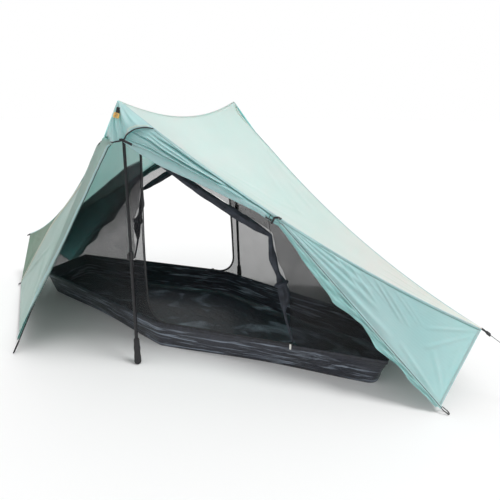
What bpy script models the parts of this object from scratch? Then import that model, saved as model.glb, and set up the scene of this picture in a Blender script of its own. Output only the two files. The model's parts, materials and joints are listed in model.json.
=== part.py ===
"""One-person trekking pole tent, pitched, with its front and rear doors rolled open.

Metres, +Z up, +X along the floor, the front door on the -Y side. The origin is the middle of the
floor's underside. The tent is the same after half a turn about Z, so each piece of the front is
built once and again, turned, for the rear.
"""
import math

import bmesh
import bpy
import numpy as np
from mathutils import Matrix, Vector

# Canopy
peak_height = 1.200
ridge_length = 0.930
canopy_length = 2.910
end_height = 0.300
ridge_sag = 0.072
door_hip_sag = 0.078
flap_hip_sag = 0.105
hip_draw = 0.015
corner_inset = 0.105
corner_spread = 0.205
corner_lift = 0.0045
flap_stake_reach = 0.620
flap_stake_spread = 0.742
flap_loop_length = 0.085
cloth = 0.0012
seam_gap = 0.0004
hinge_gap = 0.0008
seat = 0.0003
panel_dish = 0.010
panel_fold = 0.007
end_cut = 0.030

# Rolled door, its cord and toggle
roll_top_drop = 0.165
roll_radius = 0.020
roll_neck = 0.009
roll_ripple = 1.08
roll_tail_width = 0.046
roll_tail_thickness = 0.007
tail_place_shares = (0.0, 0.16, 0.40, 0.55, 0.66, 0.80, 1.0)
tail_width_shares = (0.39, 0.62, 1.0, 0.46, 0.72, 0.42, 0.22)
toggle_share = 0.420
tie_cord = 0.0030
toggle_length = 0.028
toggle_radius = 0.0045

# Hood over the peak
brow_door_length = 0.158
brow_flap_length = 0.192
brow_drop = 0.160
brow_stand = 0.0033
brow_bulge = 0.012

# Bathtub floor
floor_length = 2.130
floor_width = 0.690
floor_end_width = 0.300
floor_draw = 0.020
wall_height = 0.145
wall_lean = 0.016
wall_end_lean = 0.034
floor_sheet = 0.0015
middle_softness = 0.01

# Net walls and their doors
net = 0.0010
net_seat = 0.0024
net_rise = 0.0014
roll_room = 0.022
zip_top_x = 0.030
zip_top_drop = 0.200
zip_foot_x = -0.040
zip_corner = 0.110
zip_bead = 0.0060
slider_stop = 0.690
net_hang = 0.085
bundle_radius = 0.020
knot_radius = 0.026
strand_radius = 0.006
strand_bow = 0.030

# Zip sliders
slider_length = 0.016
slider_wall = 0.0020
slider_clearance = 0.0005
pull_length = 0.030
pull_width = 0.0070
pull_thickness = 0.0018

# Trekking poles, handle down
pole_lean = 0.070
pole_inset = 0.015
pole_top_drop = 0.0098
grip_length = 0.135
grip_radius = 0.0165
handle_shaft_radius = 0.0080
handle_shaft_length = 0.560
handle_shaft_start = 0.020
tip_shaft_radius = 0.0062
tip_shaft_start = 0.400
tube_wall = 0.0010
slide_clearance = 0.0004
tip_length = 0.060
tip_radius = 0.0028
clamp_length = 0.034
clamp_wall = 0.0030
clamp_overhang = 0.008
lever_length = 0.030
lever_width = 0.0120
lever_thickness = 0.0035

# Peak fittings
pocket_radius = 0.017
pocket_depth = 0.046
pocket_wall = 0.0012
pocket_seat = 0.0005
pocket_slope = 0.95
tab_width = 0.015
tab_thickness = 0.0025
tab_drop = 0.022
lock_width = 0.024
lock_height = 0.020
lock_thickness = 0.006

# Ground loops, end tabs and the guyline
loop_length = 0.042
loop_width = 0.022
loop_cord = 0.0040
flap_loop_width = 0.016
end_tab_length = 0.036
end_tab_width = 0.018
end_tab_thickness = 0.0040
guyline_reach = 0.500
guyline_cord = 0.0025

up = Vector((0.0, 0.0, 1.0))
peak = Vector((0.0, -ridge_length / 2, peak_height))
far_peak = Vector((0.0, ridge_length / 2, peak_height))
door_end = Vector((canopy_length / 2, 0.0, end_height))
flap_end = Vector((-canopy_length / 2, 0.0, end_height))
corner_reach = canopy_length / 2 - corner_inset
door_corner = Vector((corner_reach, -corner_spread, corner_lift))
flap_corner = Vector((-corner_reach, -corner_spread, corner_lift))
flap_stake = Vector((-flap_stake_reach, -flap_stake_spread, 0.0))
inside = Vector((0.0, 0.0, peak_height / 3))
cords = ("right_guyline",)


def clear_scene():
    for thing in list(bpy.data.objects):
        bpy.data.objects.remove(thing, do_unlink=True)


def collection(name):
    found = bpy.data.collections.get(name) or bpy.data.collections.new(name)
    if name not in bpy.context.scene.collection.children:
        bpy.context.scene.collection.children.link(found)
    return found


def material(name, color, roughness, metallic=0.0):
    found = bpy.data.materials.get(name)
    if found:
        return found
    made = bpy.data.materials.new(name)
    made.use_nodes = True
    shader = made.node_tree.nodes["Principled BSDF"]
    shader.inputs["Base Color"].default_value = (*color, 1.0)
    shader.inputs["Roughness"].default_value = roughness
    shader.inputs["Metallic"].default_value = metallic
    return made


def canopy_cloth():
    return material("canopy_cloth", (0.42, 0.68, 0.64), 0.55)


def floor_cloth():
    return material("floor_cloth", (0.012, 0.014, 0.020), 0.35)


def net_cloth():
    return material("net_cloth", (0.020, 0.022, 0.028), 0.85)


def black_webbing():
    return material("black_webbing", (0.015, 0.015, 0.017), 0.75)


def black_plastic():
    return material("black_plastic", (0.018, 0.018, 0.020), 0.45)


def yellow_plastic():
    return material("yellow_plastic", (0.87, 0.58, 0.16), 0.40)


def white_webbing():
    return material("white_webbing", (0.80, 0.80, 0.76), 0.70)


def pole_metal():
    return material("pole_metal", (0.020, 0.020, 0.022), 0.30, 0.6)


def grip_foam():
    return material("grip_foam", (0.030, 0.030, 0.032), 0.90)


def add_object(name, data, finish, parent):
    thing = bpy.data.objects.new(name, data)
    collection("trekking_pole_tent").objects.link(thing)
    data.materials.append(finish)
    thing.parent = parent
    return thing


def smooth(thing):
    thing.data.shade_smooth()
    thing.data.set_sharp_from_angle(angle=math.radians(40))


def mesh_from(name, shape, finish, parent):
    data = bpy.data.meshes.new(name)
    shape.to_mesh(data)
    shape.free()
    return add_object(name, data, finish, parent)


def thicken(thing, thickness, offset):
    solid = thing.modifiers.new("thickness", "SOLIDIFY")
    solid.thickness = thickness
    solid.offset = offset
    solid.use_even_offset = False


def sheet(name, surface, columns, rows, thickness, finish, parent, offset=1.0, centre=inside):
    """A grid laid on surface(across, along), its front facing away from the centre."""
    shape = bmesh.new()
    bmesh.ops.create_grid(shape, x_segments=columns, y_segments=rows, size=0.5)
    for vertex in shape.verts:
        vertex.co = surface(vertex.co.x + 0.5, vertex.co.y + 0.5)
    shape.normal_update()
    middle = sum((face.calc_center_median() for face in shape.faces), Vector()) / len(shape.faces)
    facing = sum((face.normal for face in shape.faces), Vector())
    if facing.dot(middle - centre) < 0:
        bmesh.ops.reverse_faces(shape, faces=shape.faces)
    thing = mesh_from(name, shape, finish, parent)
    thicken(thing, thickness, offset)
    smooth(thing)
    return thing


def tube(name, points, radii, finish, parent, sides=2, closed=False):
    """A round tube along the points, of one radius or of one radius a point."""
    data = bpy.data.curves.new(name, "CURVE")
    data.dimensions = "3D"
    data.bevel_depth = 1.0
    data.bevel_resolution = sides
    data.use_fill_caps = not closed
    data.twist_mode = "MINIMUM"
    run = data.splines.new("POLY")
    run.points.add(len(points) - 1)
    run.use_cyclic_u = closed
    run.use_smooth = True
    for index, (target, place) in enumerate(zip(run.points, points)):
        target.co = (*place, 1.0)
        target.radius = radii[index] if hasattr(radii, "__len__") else radii
    return add_object(name, data, finish, parent)


def turned(name, profile, sides, finish, parent, location=(0.0, 0.0, 0.0), ring=False):
    """A profile of (radius, height), from top to bottom on its outer side, turned about Z."""
    shape = bmesh.new()
    line = [shape.verts.new((radius, 0.0, height)) for radius, height in profile]
    follows = line[1:] + line[:1] if ring else line[1:]
    for first, second in zip(line, follows):
        shape.edges.new((first, second))
    thing = mesh_from(name, shape, finish, parent)
    thing.location = location
    screw = thing.modifiers.new("turn", "SCREW")
    screw.steps = sides
    screw.render_steps = sides
    screw.use_merge_vertices = True
    screw.merge_threshold = seat / 10
    screw.use_normal_calculate = False
    return thing


def block(name, size, centre, finish, parent, rotation=(0.0, 0.0, 0.0), rounding=0.0):
    shape = bmesh.new()
    bmesh.ops.create_cube(shape, size=1.0)
    bmesh.ops.scale(shape, vec=size, verts=shape.verts)
    thing = mesh_from(name, shape, finish, parent)
    thing.location = centre
    thing.rotation_euler = rotation
    if rounding:
        edges = thing.modifiers.new("edges", "BEVEL")
        edges.width = rounding
        edges.segments = 2
    return thing


def cutter(thing):
    thing.hide_render = True
    thing.display_type = "WIRE"
    for owner in list(thing.users_collection):
        owner.objects.unlink(thing)
    collection("cutters").objects.link(thing)
    return thing


def combine(thing, other, operation):
    change = thing.modifiers.new(operation.lower(), "BOOLEAN")
    change.operation = operation
    change.solver = "EXACT"
    change.object = cutter(other)


def turned_round(place):
    """The same place after half a turn about Z."""
    return Vector((-place.x, -place.y, place.z))


def smooth_share(share):
    share = min(max(share, 0.0), 1.0)
    return share * share * (3 - 2 * share)


def even_steps(start, stop, count):
    return [start + (stop - start) * index / (count - 1) for index in range(count)]


def toward(place, target, distance):
    return place + (target - place).normalized() * distance


def through(route, count):
    """Points at even steps along a smooth curve through the route."""
    route = [Vector(place) for place in route]
    fine = []
    for index in range(len(route) - 1):
        before = route[max(index - 1, 0)]
        first, second = route[index], route[index + 1]
        after = route[min(index + 2, len(route) - 1)]
        for share in even_steps(0.0, 1.0, 13)[:-1]:
            square, cube = share ** 2, share ** 3
            fine.append(0.5 * (2 * first + (second - before) * share
                               + (2 * before - 5 * first + 4 * second - after) * square
                               + (3 * first - before - 3 * second + after) * cube))
    fine.append(route[-1])
    runs = [0.0]
    for first, second in zip(fine, fine[1:]):
        runs.append(runs[-1] + (second - first).length)
    spots = []
    for wanted in even_steps(0.0, runs[-1], count):
        index = min(max(int(np.searchsorted(runs, wanted)), 1), len(fine) - 1)
        share = (wanted - runs[index - 1]) / (runs[index] - runs[index - 1])
        spots.append(fine[index - 1].lerp(fine[index], share))
    return spots


# Seams of the canopy

def hip(end, sag, share):
    """A hip seam from the front peak to one end, drawn down and inwards by the cloth's pull."""
    bow = 4 * share * (1 - share)
    return peak.lerp(end, share) + Vector((0.0, hip_draw * bow, -sag * bow))


def door_hip(share):
    return hip(door_end, door_hip_sag, share)


def flap_hip(share):
    return hip(flap_end, flap_hip_sag, share)


def rear_flap_hip(share):
    """The seam from the far peak to the right end."""
    return turned_round(flap_hip(share))


def crease(share):
    """The straight seam from the front peak to the flap side's ground corner."""
    return peak.lerp(flap_corner, share)


def zip_edge(share):
    """The flap's straight zip edge, from the front peak to its stake."""
    return peak.lerp(flap_stake, share)


door_hip_length = (door_end - peak).length
flap_hip_length = (flap_end - peak).length
crease_length = (flap_corner - peak).length
zip_edge_length = (flap_stake - peak).length
tie_point = door_hip(toggle_share)
flap_tip_share = 1 - flap_loop_length / zip_edge_length
front_out = (flap_corner - peak).cross(flap_stake - peak).normalized()
if front_out.dot(peak - inside) < 0:
    front_out = -front_out
roll_top = Vector((roll_radius, -ridge_length / 2 + roll_radius / 2, peak_height - roll_top_drop))
roll_foot = tie_point - up * (roll_neck * 2.6) + Vector((0.0, -roll_neck / 2, 0.0))
tie_ring_share = 0.94
brow_share = brow_door_length / door_hip_length


def roof_surface(share, across):
    """The right roof panel: rows run from the front hip to the rear hip and sag at the ridge."""
    first, second = door_hip(share), rear_flap_hip(share)
    start, stop = toward(first, second, seam_gap / 2), toward(second, first, seam_gap / 2)
    row = start.lerp(stop, across)
    row.z -= ridge_sag * (1 - share) ** 2 * 4 * across * (1 - across)
    row.x += seam_gap / 2 * (1 - share)
    return row


def roof_panel(name, parent):
    last = 1 - end_cut / door_hip_length

    def surface(across, along):
        return roof_surface(along * last, across)

    return sheet(name, surface, 8, 17, cloth, canopy_cloth(), parent)


# Front right panel: the strip above the rolled door, then the fixed triangle below the toggle

def roll_axis(share):
    return roll_top.lerp(roll_foot, share)


def roll_size(share):
    """The roll's radius, gathered at the peak, then full, and necked where the cord ties it."""
    full = smooth_share((share + 0.02) / 0.25) * (1 - smooth_share((share - 0.25) / 0.75))
    return roll_neck + (roll_radius - roll_neck) * full


def door_edge(share):
    """The lower edge of the front right panel, by its share along the hip."""
    if share <= toggle_share:
        along = share / toggle_share
        above = (door_hip(share) - roll_axis(along)).normalized()
        slant = above.cross((roll_foot - roll_top).normalized()).length
        room = roll_size(along) * roll_ripple + seat + tie_cord * 1.8 * smooth_share((along - 0.8) * 5)
        return roll_axis(along) + above * (room / slant)
    return edge_start().lerp(door_corner, (share - toggle_share) / (1 - toggle_share))


def edge_start():
    """Where the door's open edge leaves the tie, just above the roll's neck."""
    room = roll_neck * roll_ripple + seat + tie_cord * 1.8
    return roll_foot + (tie_point - roll_foot).normalized() * room


def right_panel_surface(along, down):
    """Rows hang from the door hip to the door's edge, with pleats that fan from the toggle."""
    first = brow_share / 4
    last = 1 - end_cut / door_hip_length
    share = first + (last - first) * along
    top, foot = door_hip(share), door_edge(share)
    top = toward(top, foot, seam_gap)
    place = top.lerp(foot, down)
    out = (door_corner - tie_point).cross(door_end - tie_point).normalized()
    if out.y > 0:
        out = -out
    bow = 4 * down * (1 - down)
    if share > toggle_share:
        spread = (share - toggle_share) / (1 - toggle_share)
        pleats = math.sin(down * 3 * math.pi) ** 2 * (1 - spread) ** 2 * smooth_share(spread * 6)
        place += out * (panel_fold * pleats - panel_dish * bow * smooth_share(spread * 2))
    else:
        spread = share / toggle_share
        pleats = math.sin(down * 3 * math.pi) ** 2 * math.sin(math.pi * spread)
        place += out * panel_fold * pleats
    return place


def right_panel(name, parent):
    return sheet(name, right_panel_surface, 28, 9, cloth, canopy_cloth(), parent)


def left_panel(name, parent):
    """The fixed panel between the flap hip and the crease that the flap swings on."""
    first = brow_share / 3
    last = 1 - end_cut / flap_hip_length

    def surface(along, down):
        share = first + (last - first) * along
        top, foot = flap_hip(share), crease(share)
        place = toward(top, foot, seam_gap).lerp(toward(foot, top, hinge_gap / 2), down)
        bow = 4 * down * (1 - down) * math.sin(math.pi * share)
        return place - front_out * panel_dish * bow

    return sheet(name, surface, 17, 5, cloth, canopy_cloth(), parent)


def flap_top_shares():
    """Where the flap starts, just clear of the hood's hem, on its crease and on its zip."""
    return brow_flap_length * 1.06 / crease_length, brow_drop * 1.12 / zip_edge_length


def flap_panel(name, parent):
    crease_top, zip_top = flap_top_shares()
    last = 1 - end_cut / crease_length

    def surface(across, along):
        foot = crease(crease_top + (last - crease_top) * along)
        edge = zip_edge(zip_top + (flap_tip_share - zip_top) * along)
        place = toward(foot, edge, hinge_gap / 2).lerp(edge, across)
        bow = 4 * across * (1 - across) * math.sin(math.pi * min(along, 0.9))
        return place - front_out * panel_dish * bow

    return sheet(name, surface, 7, 14, cloth, canopy_cloth(), parent)


def flap_zip(name, parent):
    """The zip's bead, seated on the flap's free edge."""
    zip_top = flap_top_shares()[1]
    aside = (flap_stake - flap_corner).normalized() * (zip_bead / 2 + seat) + front_out * cloth / 2
    ends = [zip_edge(zip_top) + aside, zip_edge(flap_tip_share) + aside]
    return tube(name, ends, zip_bead / 2, black_plastic(), parent)


def even_between(ends, count):
    return [ends[0].lerp(ends[1], share) for share in even_steps(0.0, 1.0, count)]


# Rolled door

def door_roll(name, parent):
    """One skin: a round roll to the cord, then a slack doubled strip down the door's edge."""
    rings = 32
    around = 10
    tie_ring = 18
    shape = bmesh.new()
    loops = []
    edge_top = edge_start()
    edge_foot = toward(door_corner, tie_point, end_cut * 1.4)
    hang = (roll_foot - edge_top).normalized()
    down_edge = (door_corner - edge_top).normalized()
    out = (door_corner - tie_point).cross(door_end - tie_point).normalized()
    if out.y > 0:
        out = -out
    tail_side = down_edge.cross(out).normalized()
    if tail_side.x > 0:
        tail_side = -tail_side
    for ring in range(rings):
        if ring <= tie_ring:
            share = ring / tie_ring
            centre = roll_axis(share)
            axis = (roll_foot - roll_top).normalized()
            side = axis.cross(up).normalized()
            over = side.cross(axis).normalized()
            wide = tall = roll_size(share)
            twist = share * 4 * math.pi
        else:
            share = (ring - tie_ring) / (rings - 1 - tie_ring)
            flare = float(np.interp(share, tail_place_shares, tail_width_shares))
            wide = roll_neck + (roll_tail_width / 2 * flare - roll_neck) * smooth_share(share * 3)
            tall = roll_neck + (roll_tail_thickness / 2 - roll_neck) * smooth_share(share * 3)
            aside = hang.lerp(tail_side, smooth_share(share * 5)).normalized()
            room = (roll_foot - edge_top).length - roll_neck
            centre = edge_top.lerp(edge_foot, share) + aside * (wide + room)
            side, over = aside, out
            twist = 0.0
        loop = []
        for step in range(around):
            angle = 2 * math.pi * step / around
            ripple = 1 + (roll_ripple - 1) * math.cos(3 * angle + twist)
            offset = side * wide * math.cos(angle) + over * tall * math.sin(angle)
            loop.append(shape.verts.new(centre + offset * (ripple if ring <= tie_ring else 1)))
        loops.append(loop)
    for first, second in zip(loops, loops[1:]):
        for step in range(around):
            after = (step + 1) % around
            shape.faces.new((first[step], first[after], second[after], second[step]))
    shape.faces.new(loops[0])
    shape.faces.new(loops[-1])
    bmesh.ops.recalc_face_normals(shape, faces=shape.faces)
    thing = mesh_from(name, shape, canopy_cloth(), parent)
    smooth(thing)
    return thing


def tie_cord_route():
    """From the net bundle up to the rolled door and once round its neck, to the toggle."""
    ring = roll_size(tie_ring_share) * roll_ripple + tie_cord / 2 + seat * 2
    axis = (roll_foot - roll_top).normalized()
    side = axis.cross(up).normalized()
    over = side.cross(axis).normalized()
    centre = roll_axis(tie_ring_share)
    route = []
    for step in range(15):
        angle = math.radians(-110 - 240 * step / 14)
        climb = axis * (tie_cord * 1.6 * (step / 14 - 0.5))
        route.append(centre + (side * math.cos(angle) + over * math.sin(angle)) * ring - climb)
    return route


def tie(name, parent):
    start = hang_point() + up * (bundle_size(hang_share) + tie_cord * 1.8)
    ring = tie_cord_route()
    route = even_between([start, ring[0]], 12)[:-1] + ring
    return tube(name, through(route, 32), tie_cord / 2, black_webbing(), parent, sides=1)


def toggle(name, parent):
    """A waisted rod lying across the loop's free end."""
    half = toggle_length / 2
    waist = toggle_radius * 0.6
    profile = [(0.0, half), (toggle_radius * 0.7, half), (toggle_radius, half * 0.85),
               (toggle_radius, half * 0.60), (waist, half * 0.42), (waist, -half * 0.42),
               (toggle_radius, -half * 0.60), (toggle_radius, -half * 0.85),
               (toggle_radius * 0.7, -half), (0.0, -half)]
    thing = turned(name, profile, 12, black_plastic(), parent)
    thing.location = toggle_centre()
    thing.rotation_mode = "QUATERNION"
    thing.rotation_quaternion = up.rotation_difference(roll_foot - roll_top)
    return thing


def toggle_centre():
    last = tie_cord_route()[-1]
    centre = roll_axis(tie_ring_share)
    return last + (last - centre).normalized() * (tie_cord / 2 + toggle_radius * 0.6 + seat)


# Hood over the peak

def brow_hem(across):
    """The hem from the flap hip, low over the flap, to a raised arc under the door hip."""
    left = flap_hip(brow_flap_length / flap_hip_length)
    right = door_hip(brow_share)
    middle = Vector((0.0, peak.y - roll_radius * 1.3, peak_height - brow_drop))
    edge = zip_edge(brow_drop / zip_edge_length)
    arch = Vector((right.x * 0.45, (middle.y + right.y) / 2, (middle.z + right.z) / 2))
    arch += Vector((0.0, 0.0, (right.z - middle.z) * 0.22))
    fold = crease(brow_flap_length / crease_length) + front_out * brow_stand
    route = through([left, fold, edge, middle, arch, right], 41)
    place = across * 40
    index = min(int(place), 39)
    return route[index].lerp(route[index + 1], place - index)


def brow_place(across, share):
    """A point of the hood, by its place across and its share of the way down to the hem."""
    out = Vector((0.0, -1.0, 0.5)).normalized()
    bow = math.sin(math.pi * across) * math.sin(math.pi * 0.6 * share)
    return peak.lerp(brow_hem(across), share) + out * (brow_stand + brow_bulge * bow)


def brow(name, parent):
    first = 0.10

    def surface(across, down):
        return brow_place(across, first + (1 - first) * down)

    return sheet(name, surface, 14, 5, cloth, canopy_cloth(), parent)


# Bathtub floor

def side_width(share, middle, end):
    """Half the floor's width by the share of half its length, with a soft middle corner."""
    soft = math.sqrt(share ** 2 + middle_softness ** 2) - middle_softness
    return middle + (end - middle) * soft / (math.sqrt(1 + middle_softness ** 2) - middle_softness)


def rim_place(x):
    """The top of the near wall above a given x."""
    half = floor_length / 2 + wall_end_lean
    width = side_width(abs(x) / half, floor_width / 2 + wall_lean, floor_end_width / 2 + wall_lean)
    return Vector((x, -width, wall_height))


def floor_outline(level):
    """The outline at a height share from 0, the ground, to 1, the rim."""
    half = floor_length / 2 + wall_end_lean * level
    middle = floor_width / 2 + wall_lean * level
    end = floor_end_width / 2 + wall_lean * level
    side_steps, end_steps = 22, 5
    outline = []
    for step in range(side_steps):
        x = -half + 2 * half * step / side_steps
        width = side_width(abs(x) / half, middle, end)
        drawn = floor_draw * (1 - level) * math.sin(math.pi * abs(x) / half) ** 2
        outline.append((x, -(width - drawn)))
    for step in range(end_steps):
        outline.append((half, -end + 2 * end * step / end_steps))
    return outline + [(-x, -y) for x, y in outline]


def bathtub_floor(parent):
    shape = bmesh.new()
    base = floor_outline(0.0)
    bmesh.ops.create_circle(shape, cap_ends=True, segments=len(base), radius=1.0)
    shape.verts.ensure_lookup_table()
    ring = sorted(shape.verts, key=lambda vertex: math.atan2(vertex.co.y, vertex.co.x))
    turn = sorted(base, key=lambda place: math.atan2(place[1], place[0]))
    for vertex, (x, y) in zip(ring, turn):
        vertex.co = (x, y, 0.0)
    levels = 4
    edges = [edge for edge in shape.edges if edge.is_boundary]
    for level in range(1, levels + 1):
        share = level / levels
        raised = floor_outline(share)
        raised = sorted(raised, key=lambda place: math.atan2(place[1], place[0]))
        made = bmesh.ops.extrude_edge_only(shape, edges=edges)["geom"]
        upper = [item for item in made if isinstance(item, bmesh.types.BMVert)]
        edges = [item for item in made if isinstance(item, bmesh.types.BMEdge)]
        upper.sort(key=lambda vertex: math.atan2(vertex.co.y, vertex.co.x))
        for vertex, (x, y) in zip(upper, raised):
            vertex.co = (x, y, wall_height * share)
        edges = [edge for edge in edges if all(vertex in upper for vertex in edge.verts)]
    bmesh.ops.recalc_face_normals(shape, faces=shape.faces)
    bottom = min(shape.faces, key=lambda face: face.calc_center_median().z)
    if bottom.normal.z > 0:
        bmesh.ops.reverse_faces(shape, faces=shape.faces)
    thing = mesh_from("bathtub_floor", shape, floor_cloth(), parent)
    thicken(thing, floor_sheet, -1.0)
    smooth(thing)
    return thing


# Net walls

net_end = floor_length / 2 + wall_end_lean - net
shoulder = -pocket_radius * 2.4
door_foot_x = zip_foot_x + zip_corner
net_start = Vector((zip_top_x + bundle_radius, 0.0, peak_height - zip_top_drop))


def net_top(x):
    """The net's upper edge, just under the hip seam above a given x."""
    share = abs(x) / (canopy_length / 2)
    seam = door_hip(share) if x > 0 else flap_hip(share)
    return seam + Vector((0.0, net_seat, -net_seat))


def net_foot(x):
    """The net's lower edge, on the floor wall's rim."""
    return rim_place(x) + Vector((0.0, floor_sheet / 2, net_rise))


def left_net_top(x):
    """As net_top, but dipping behind the pole to the top of the door's zip."""
    if x < shoulder:
        return net_top(x)
    level = peak_height - zip_top_drop
    low = Vector((x, net_foot(0.0).y - pole_lean * 0.55, level))
    share = smooth_share((x - shoulder) / (zip_top_x - shoulder))
    place = net_top(shoulder).lerp(low, share)
    return Vector((x, place.y, place.z))


def net_face(x, z):
    """A point of the near net wall by its x and its height."""
    top, foot = left_net_top(x), net_foot(x)
    share = (z - foot.z) / (top.z - foot.z)
    return Vector((x, foot.y + (top.y - foot.y) * share, z))


def door_outline(inset, overrun):
    """The net door's fixed side: down its zip, round the corner and along the rim."""
    top = peak_height - zip_top_drop + overrun
    corner_z = wall_height + zip_corner
    route = []
    for height in even_steps(top, corner_z, 14)[:-1]:
        lean = (height - corner_z) / (peak_height - zip_top_drop - corner_z)
        x = zip_foot_x + (zip_top_x - zip_foot_x) * lean + inset
        route.append(net_face(x, height))
    for angle in even_steps(math.pi, math.pi * 1.5, 9):
        reach = zip_corner - inset
        x = door_foot_x + reach * math.cos(angle)
        route.append(net_face(x, corner_z + reach * math.sin(angle)))
    return route


def left_net(name, parent):
    """The fixed net from the left end to the door's zip, cut to the door's outline."""

    def surface(along, down):
        x = -(net_end - net * 1.5) + (net_end - net * 1.5 + door_foot_x) * along
        return left_net_top(x).lerp(net_foot(x), down)

    thing = sheet(name, surface, 22, 6, net, net_cloth(), parent, offset=0.0)
    outline = [(place.x, place.z) for place in door_outline(0.0, zip_corner)]
    far = door_foot_x + zip_corner
    outline += [(far, outline[-1][1]), (far, outline[0][1])]
    depth = floor_width / 2
    combine(thing, prism(f"{name}_door_cut", outline, -ridge_length / 2 - depth, 0.0, parent), "DIFFERENCE")
    return thing


def prism(name, outline, near, far, parent):
    """An outline in X and Z, run along Y."""
    shape = bmesh.new()
    ring = [shape.verts.new((x, near, z)) for x, z in outline]
    face = shape.faces.new(ring)
    raised = bmesh.ops.extrude_face_region(shape, geom=[face])["geom"]
    for item in raised:
        if isinstance(item, bmesh.types.BMVert):
            item.co.y = far
    bmesh.ops.recalc_face_normals(shape, faces=shape.faces)
    return mesh_from(name, shape, net_cloth(), parent)


def hang_point():
    """Where the net bundle hangs from the tie cord."""
    drop = Vector((-roll_radius * 2, roll_radius / 3, -net_hang))
    return tie_point + drop


def bundle_start():
    return net_face(door_foot_x, peak_height - zip_top_drop) - Vector((roll_radius, 0.0, 0.0))


def slider_place():
    """The end of the door's run along the rim, where the net strands come down."""
    return net_foot(slider_stop)


hang_share = 0.60


def bundle_route():
    """From beside the zip's top to the hang point, then down through the knot to the rim."""
    hang, foot = hang_point(), slider_place() + up * (zip_bead * 2 + strand_radius)
    fall = foot - hang
    first = bundle_start()
    upper = through([first, first.lerp(hang, 0.5) - up * strand_bow / 3, hang], 28)
    knot = hang + fall * 0.50 + Vector((strand_bow * 0.25, 0.0, 0.0))
    below = hang + fall * 0.72 - Vector((strand_bow * 0.35, 0.0, 0.0))
    above = hang + fall * 0.22 - Vector((strand_bow * 0.35, 0.0, 0.0))
    lower = through([hang, above, knot, below, foot], 19)
    return upper + lower[1:]


def bundle_size(share):
    """Slim at the top, fuller before the hang point, pinched there, a knot, then strands."""
    stations = (0.0, 0.15, 0.42, 0.54, 0.60, 0.68, 0.74, 0.77, 0.84, 0.88, 1.0)
    slim = strand_radius
    sizes = (bundle_radius * 0.6, bundle_radius * 0.8, bundle_radius, bundle_radius * 0.85, bundle_radius * 0.62,
             bundle_radius * 0.8, bundle_radius * 0.7, knot_radius, knot_radius * 0.9, slim, slim)
    return float(np.interp(share, stations, sizes))


def bundle_place(share):
    """A point of the bundle's middle line by its share of the stations."""
    route = bundle_route()
    place = share * (len(route) - 1)
    index = min(int(place), len(route) - 2)
    return route[index].lerp(route[index + 1], place - index)


def net_bundle(name, parent):
    route = bundle_route()
    sizes = [bundle_size(index / (len(route) - 1)) for index in range(len(route))]
    return tube(name, route, sizes, net_cloth(), parent, sides=1)


def right_net(name, parent):
    """The net past the door: under the hip above the bundle, then down to the rim."""
    foot = slider_place() + Vector((zip_bead * 2, 0.0, 0.0))
    first = bundle_start()
    foot_share = 0.62
    last = net_end - net * 1.5

    def low_edge(along):
        if along < foot_share:
            share = along / foot_share
            beyond = smooth_share((share - 0.55) * 6)
            toward_net = Vector((0.8 * beyond, 0.8 - 0.5 * beyond, 0.6 - 0.5 * beyond)).normalized()
            widest = max(bundle_size(min(share + step, 1.0)) for step in (-0.05, -0.02, 0.0, 0.02, 0.05))
            place = bundle_place(share) + toward_net * (widest + net * 2.9)
            settle = smooth_share((share - 0.95) * 20)
            return place.lerp(net_foot(place.x + strand_radius), settle)
        share = (along - foot_share) / (1 - foot_share)
        start = low_edge(foot_share - 0.001).x
        return net_foot(start + (last - start) * share)

    bend = foot_share * hang_share

    def surface(along, down):
        if along < bend:
            x = first.x + (hang_point().x - first.x) * along / bend
        else:
            x = hang_point().x + (last - hang_point().x) * (along - bend) / (1 - bend)
        clear = 1 - smooth_share((x - tie_point.x - roll_radius) / (roll_radius * 5))
        inward = Vector((0.0, roll_room * clear * math.sin(math.pi * math.sqrt(max(down, 0.0))), 0.0))
        return net_top(x).lerp(low_edge(along), down) + inward

    return sheet(name, surface, 34, 5, net, net_cloth(), parent, offset=0.0)


def end_net(name, parent):
    """The net across the right end, under the roof."""
    share = net_end / (canopy_length / 2)
    foot = net_foot(net_end)

    def surface(across, down):
        top = roof_surface(share, across) - up * net_seat
        low = Vector((net_end, foot.y + (-2 * foot.y) * across, foot.z))
        return top.lerp(low, down)

    return sheet(name, surface, 4, 4, net, net_cloth(), parent, offset=0.0)


def net_zip(name, parent):
    """The zip's bead, seated on the fixed net's edge and then along the rim."""
    inset = zip_bead / 2 + seat
    route = door_outline(inset, 0.0)
    start, stop = route[-1].x, slider_stop
    for x in even_steps(start, stop, 14)[1:]:
        route.append(net_foot(x) + up * inset)
    return tube(name, route, zip_bead / 2, black_plastic(), parent, sides=1)


# Zip sliders

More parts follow.
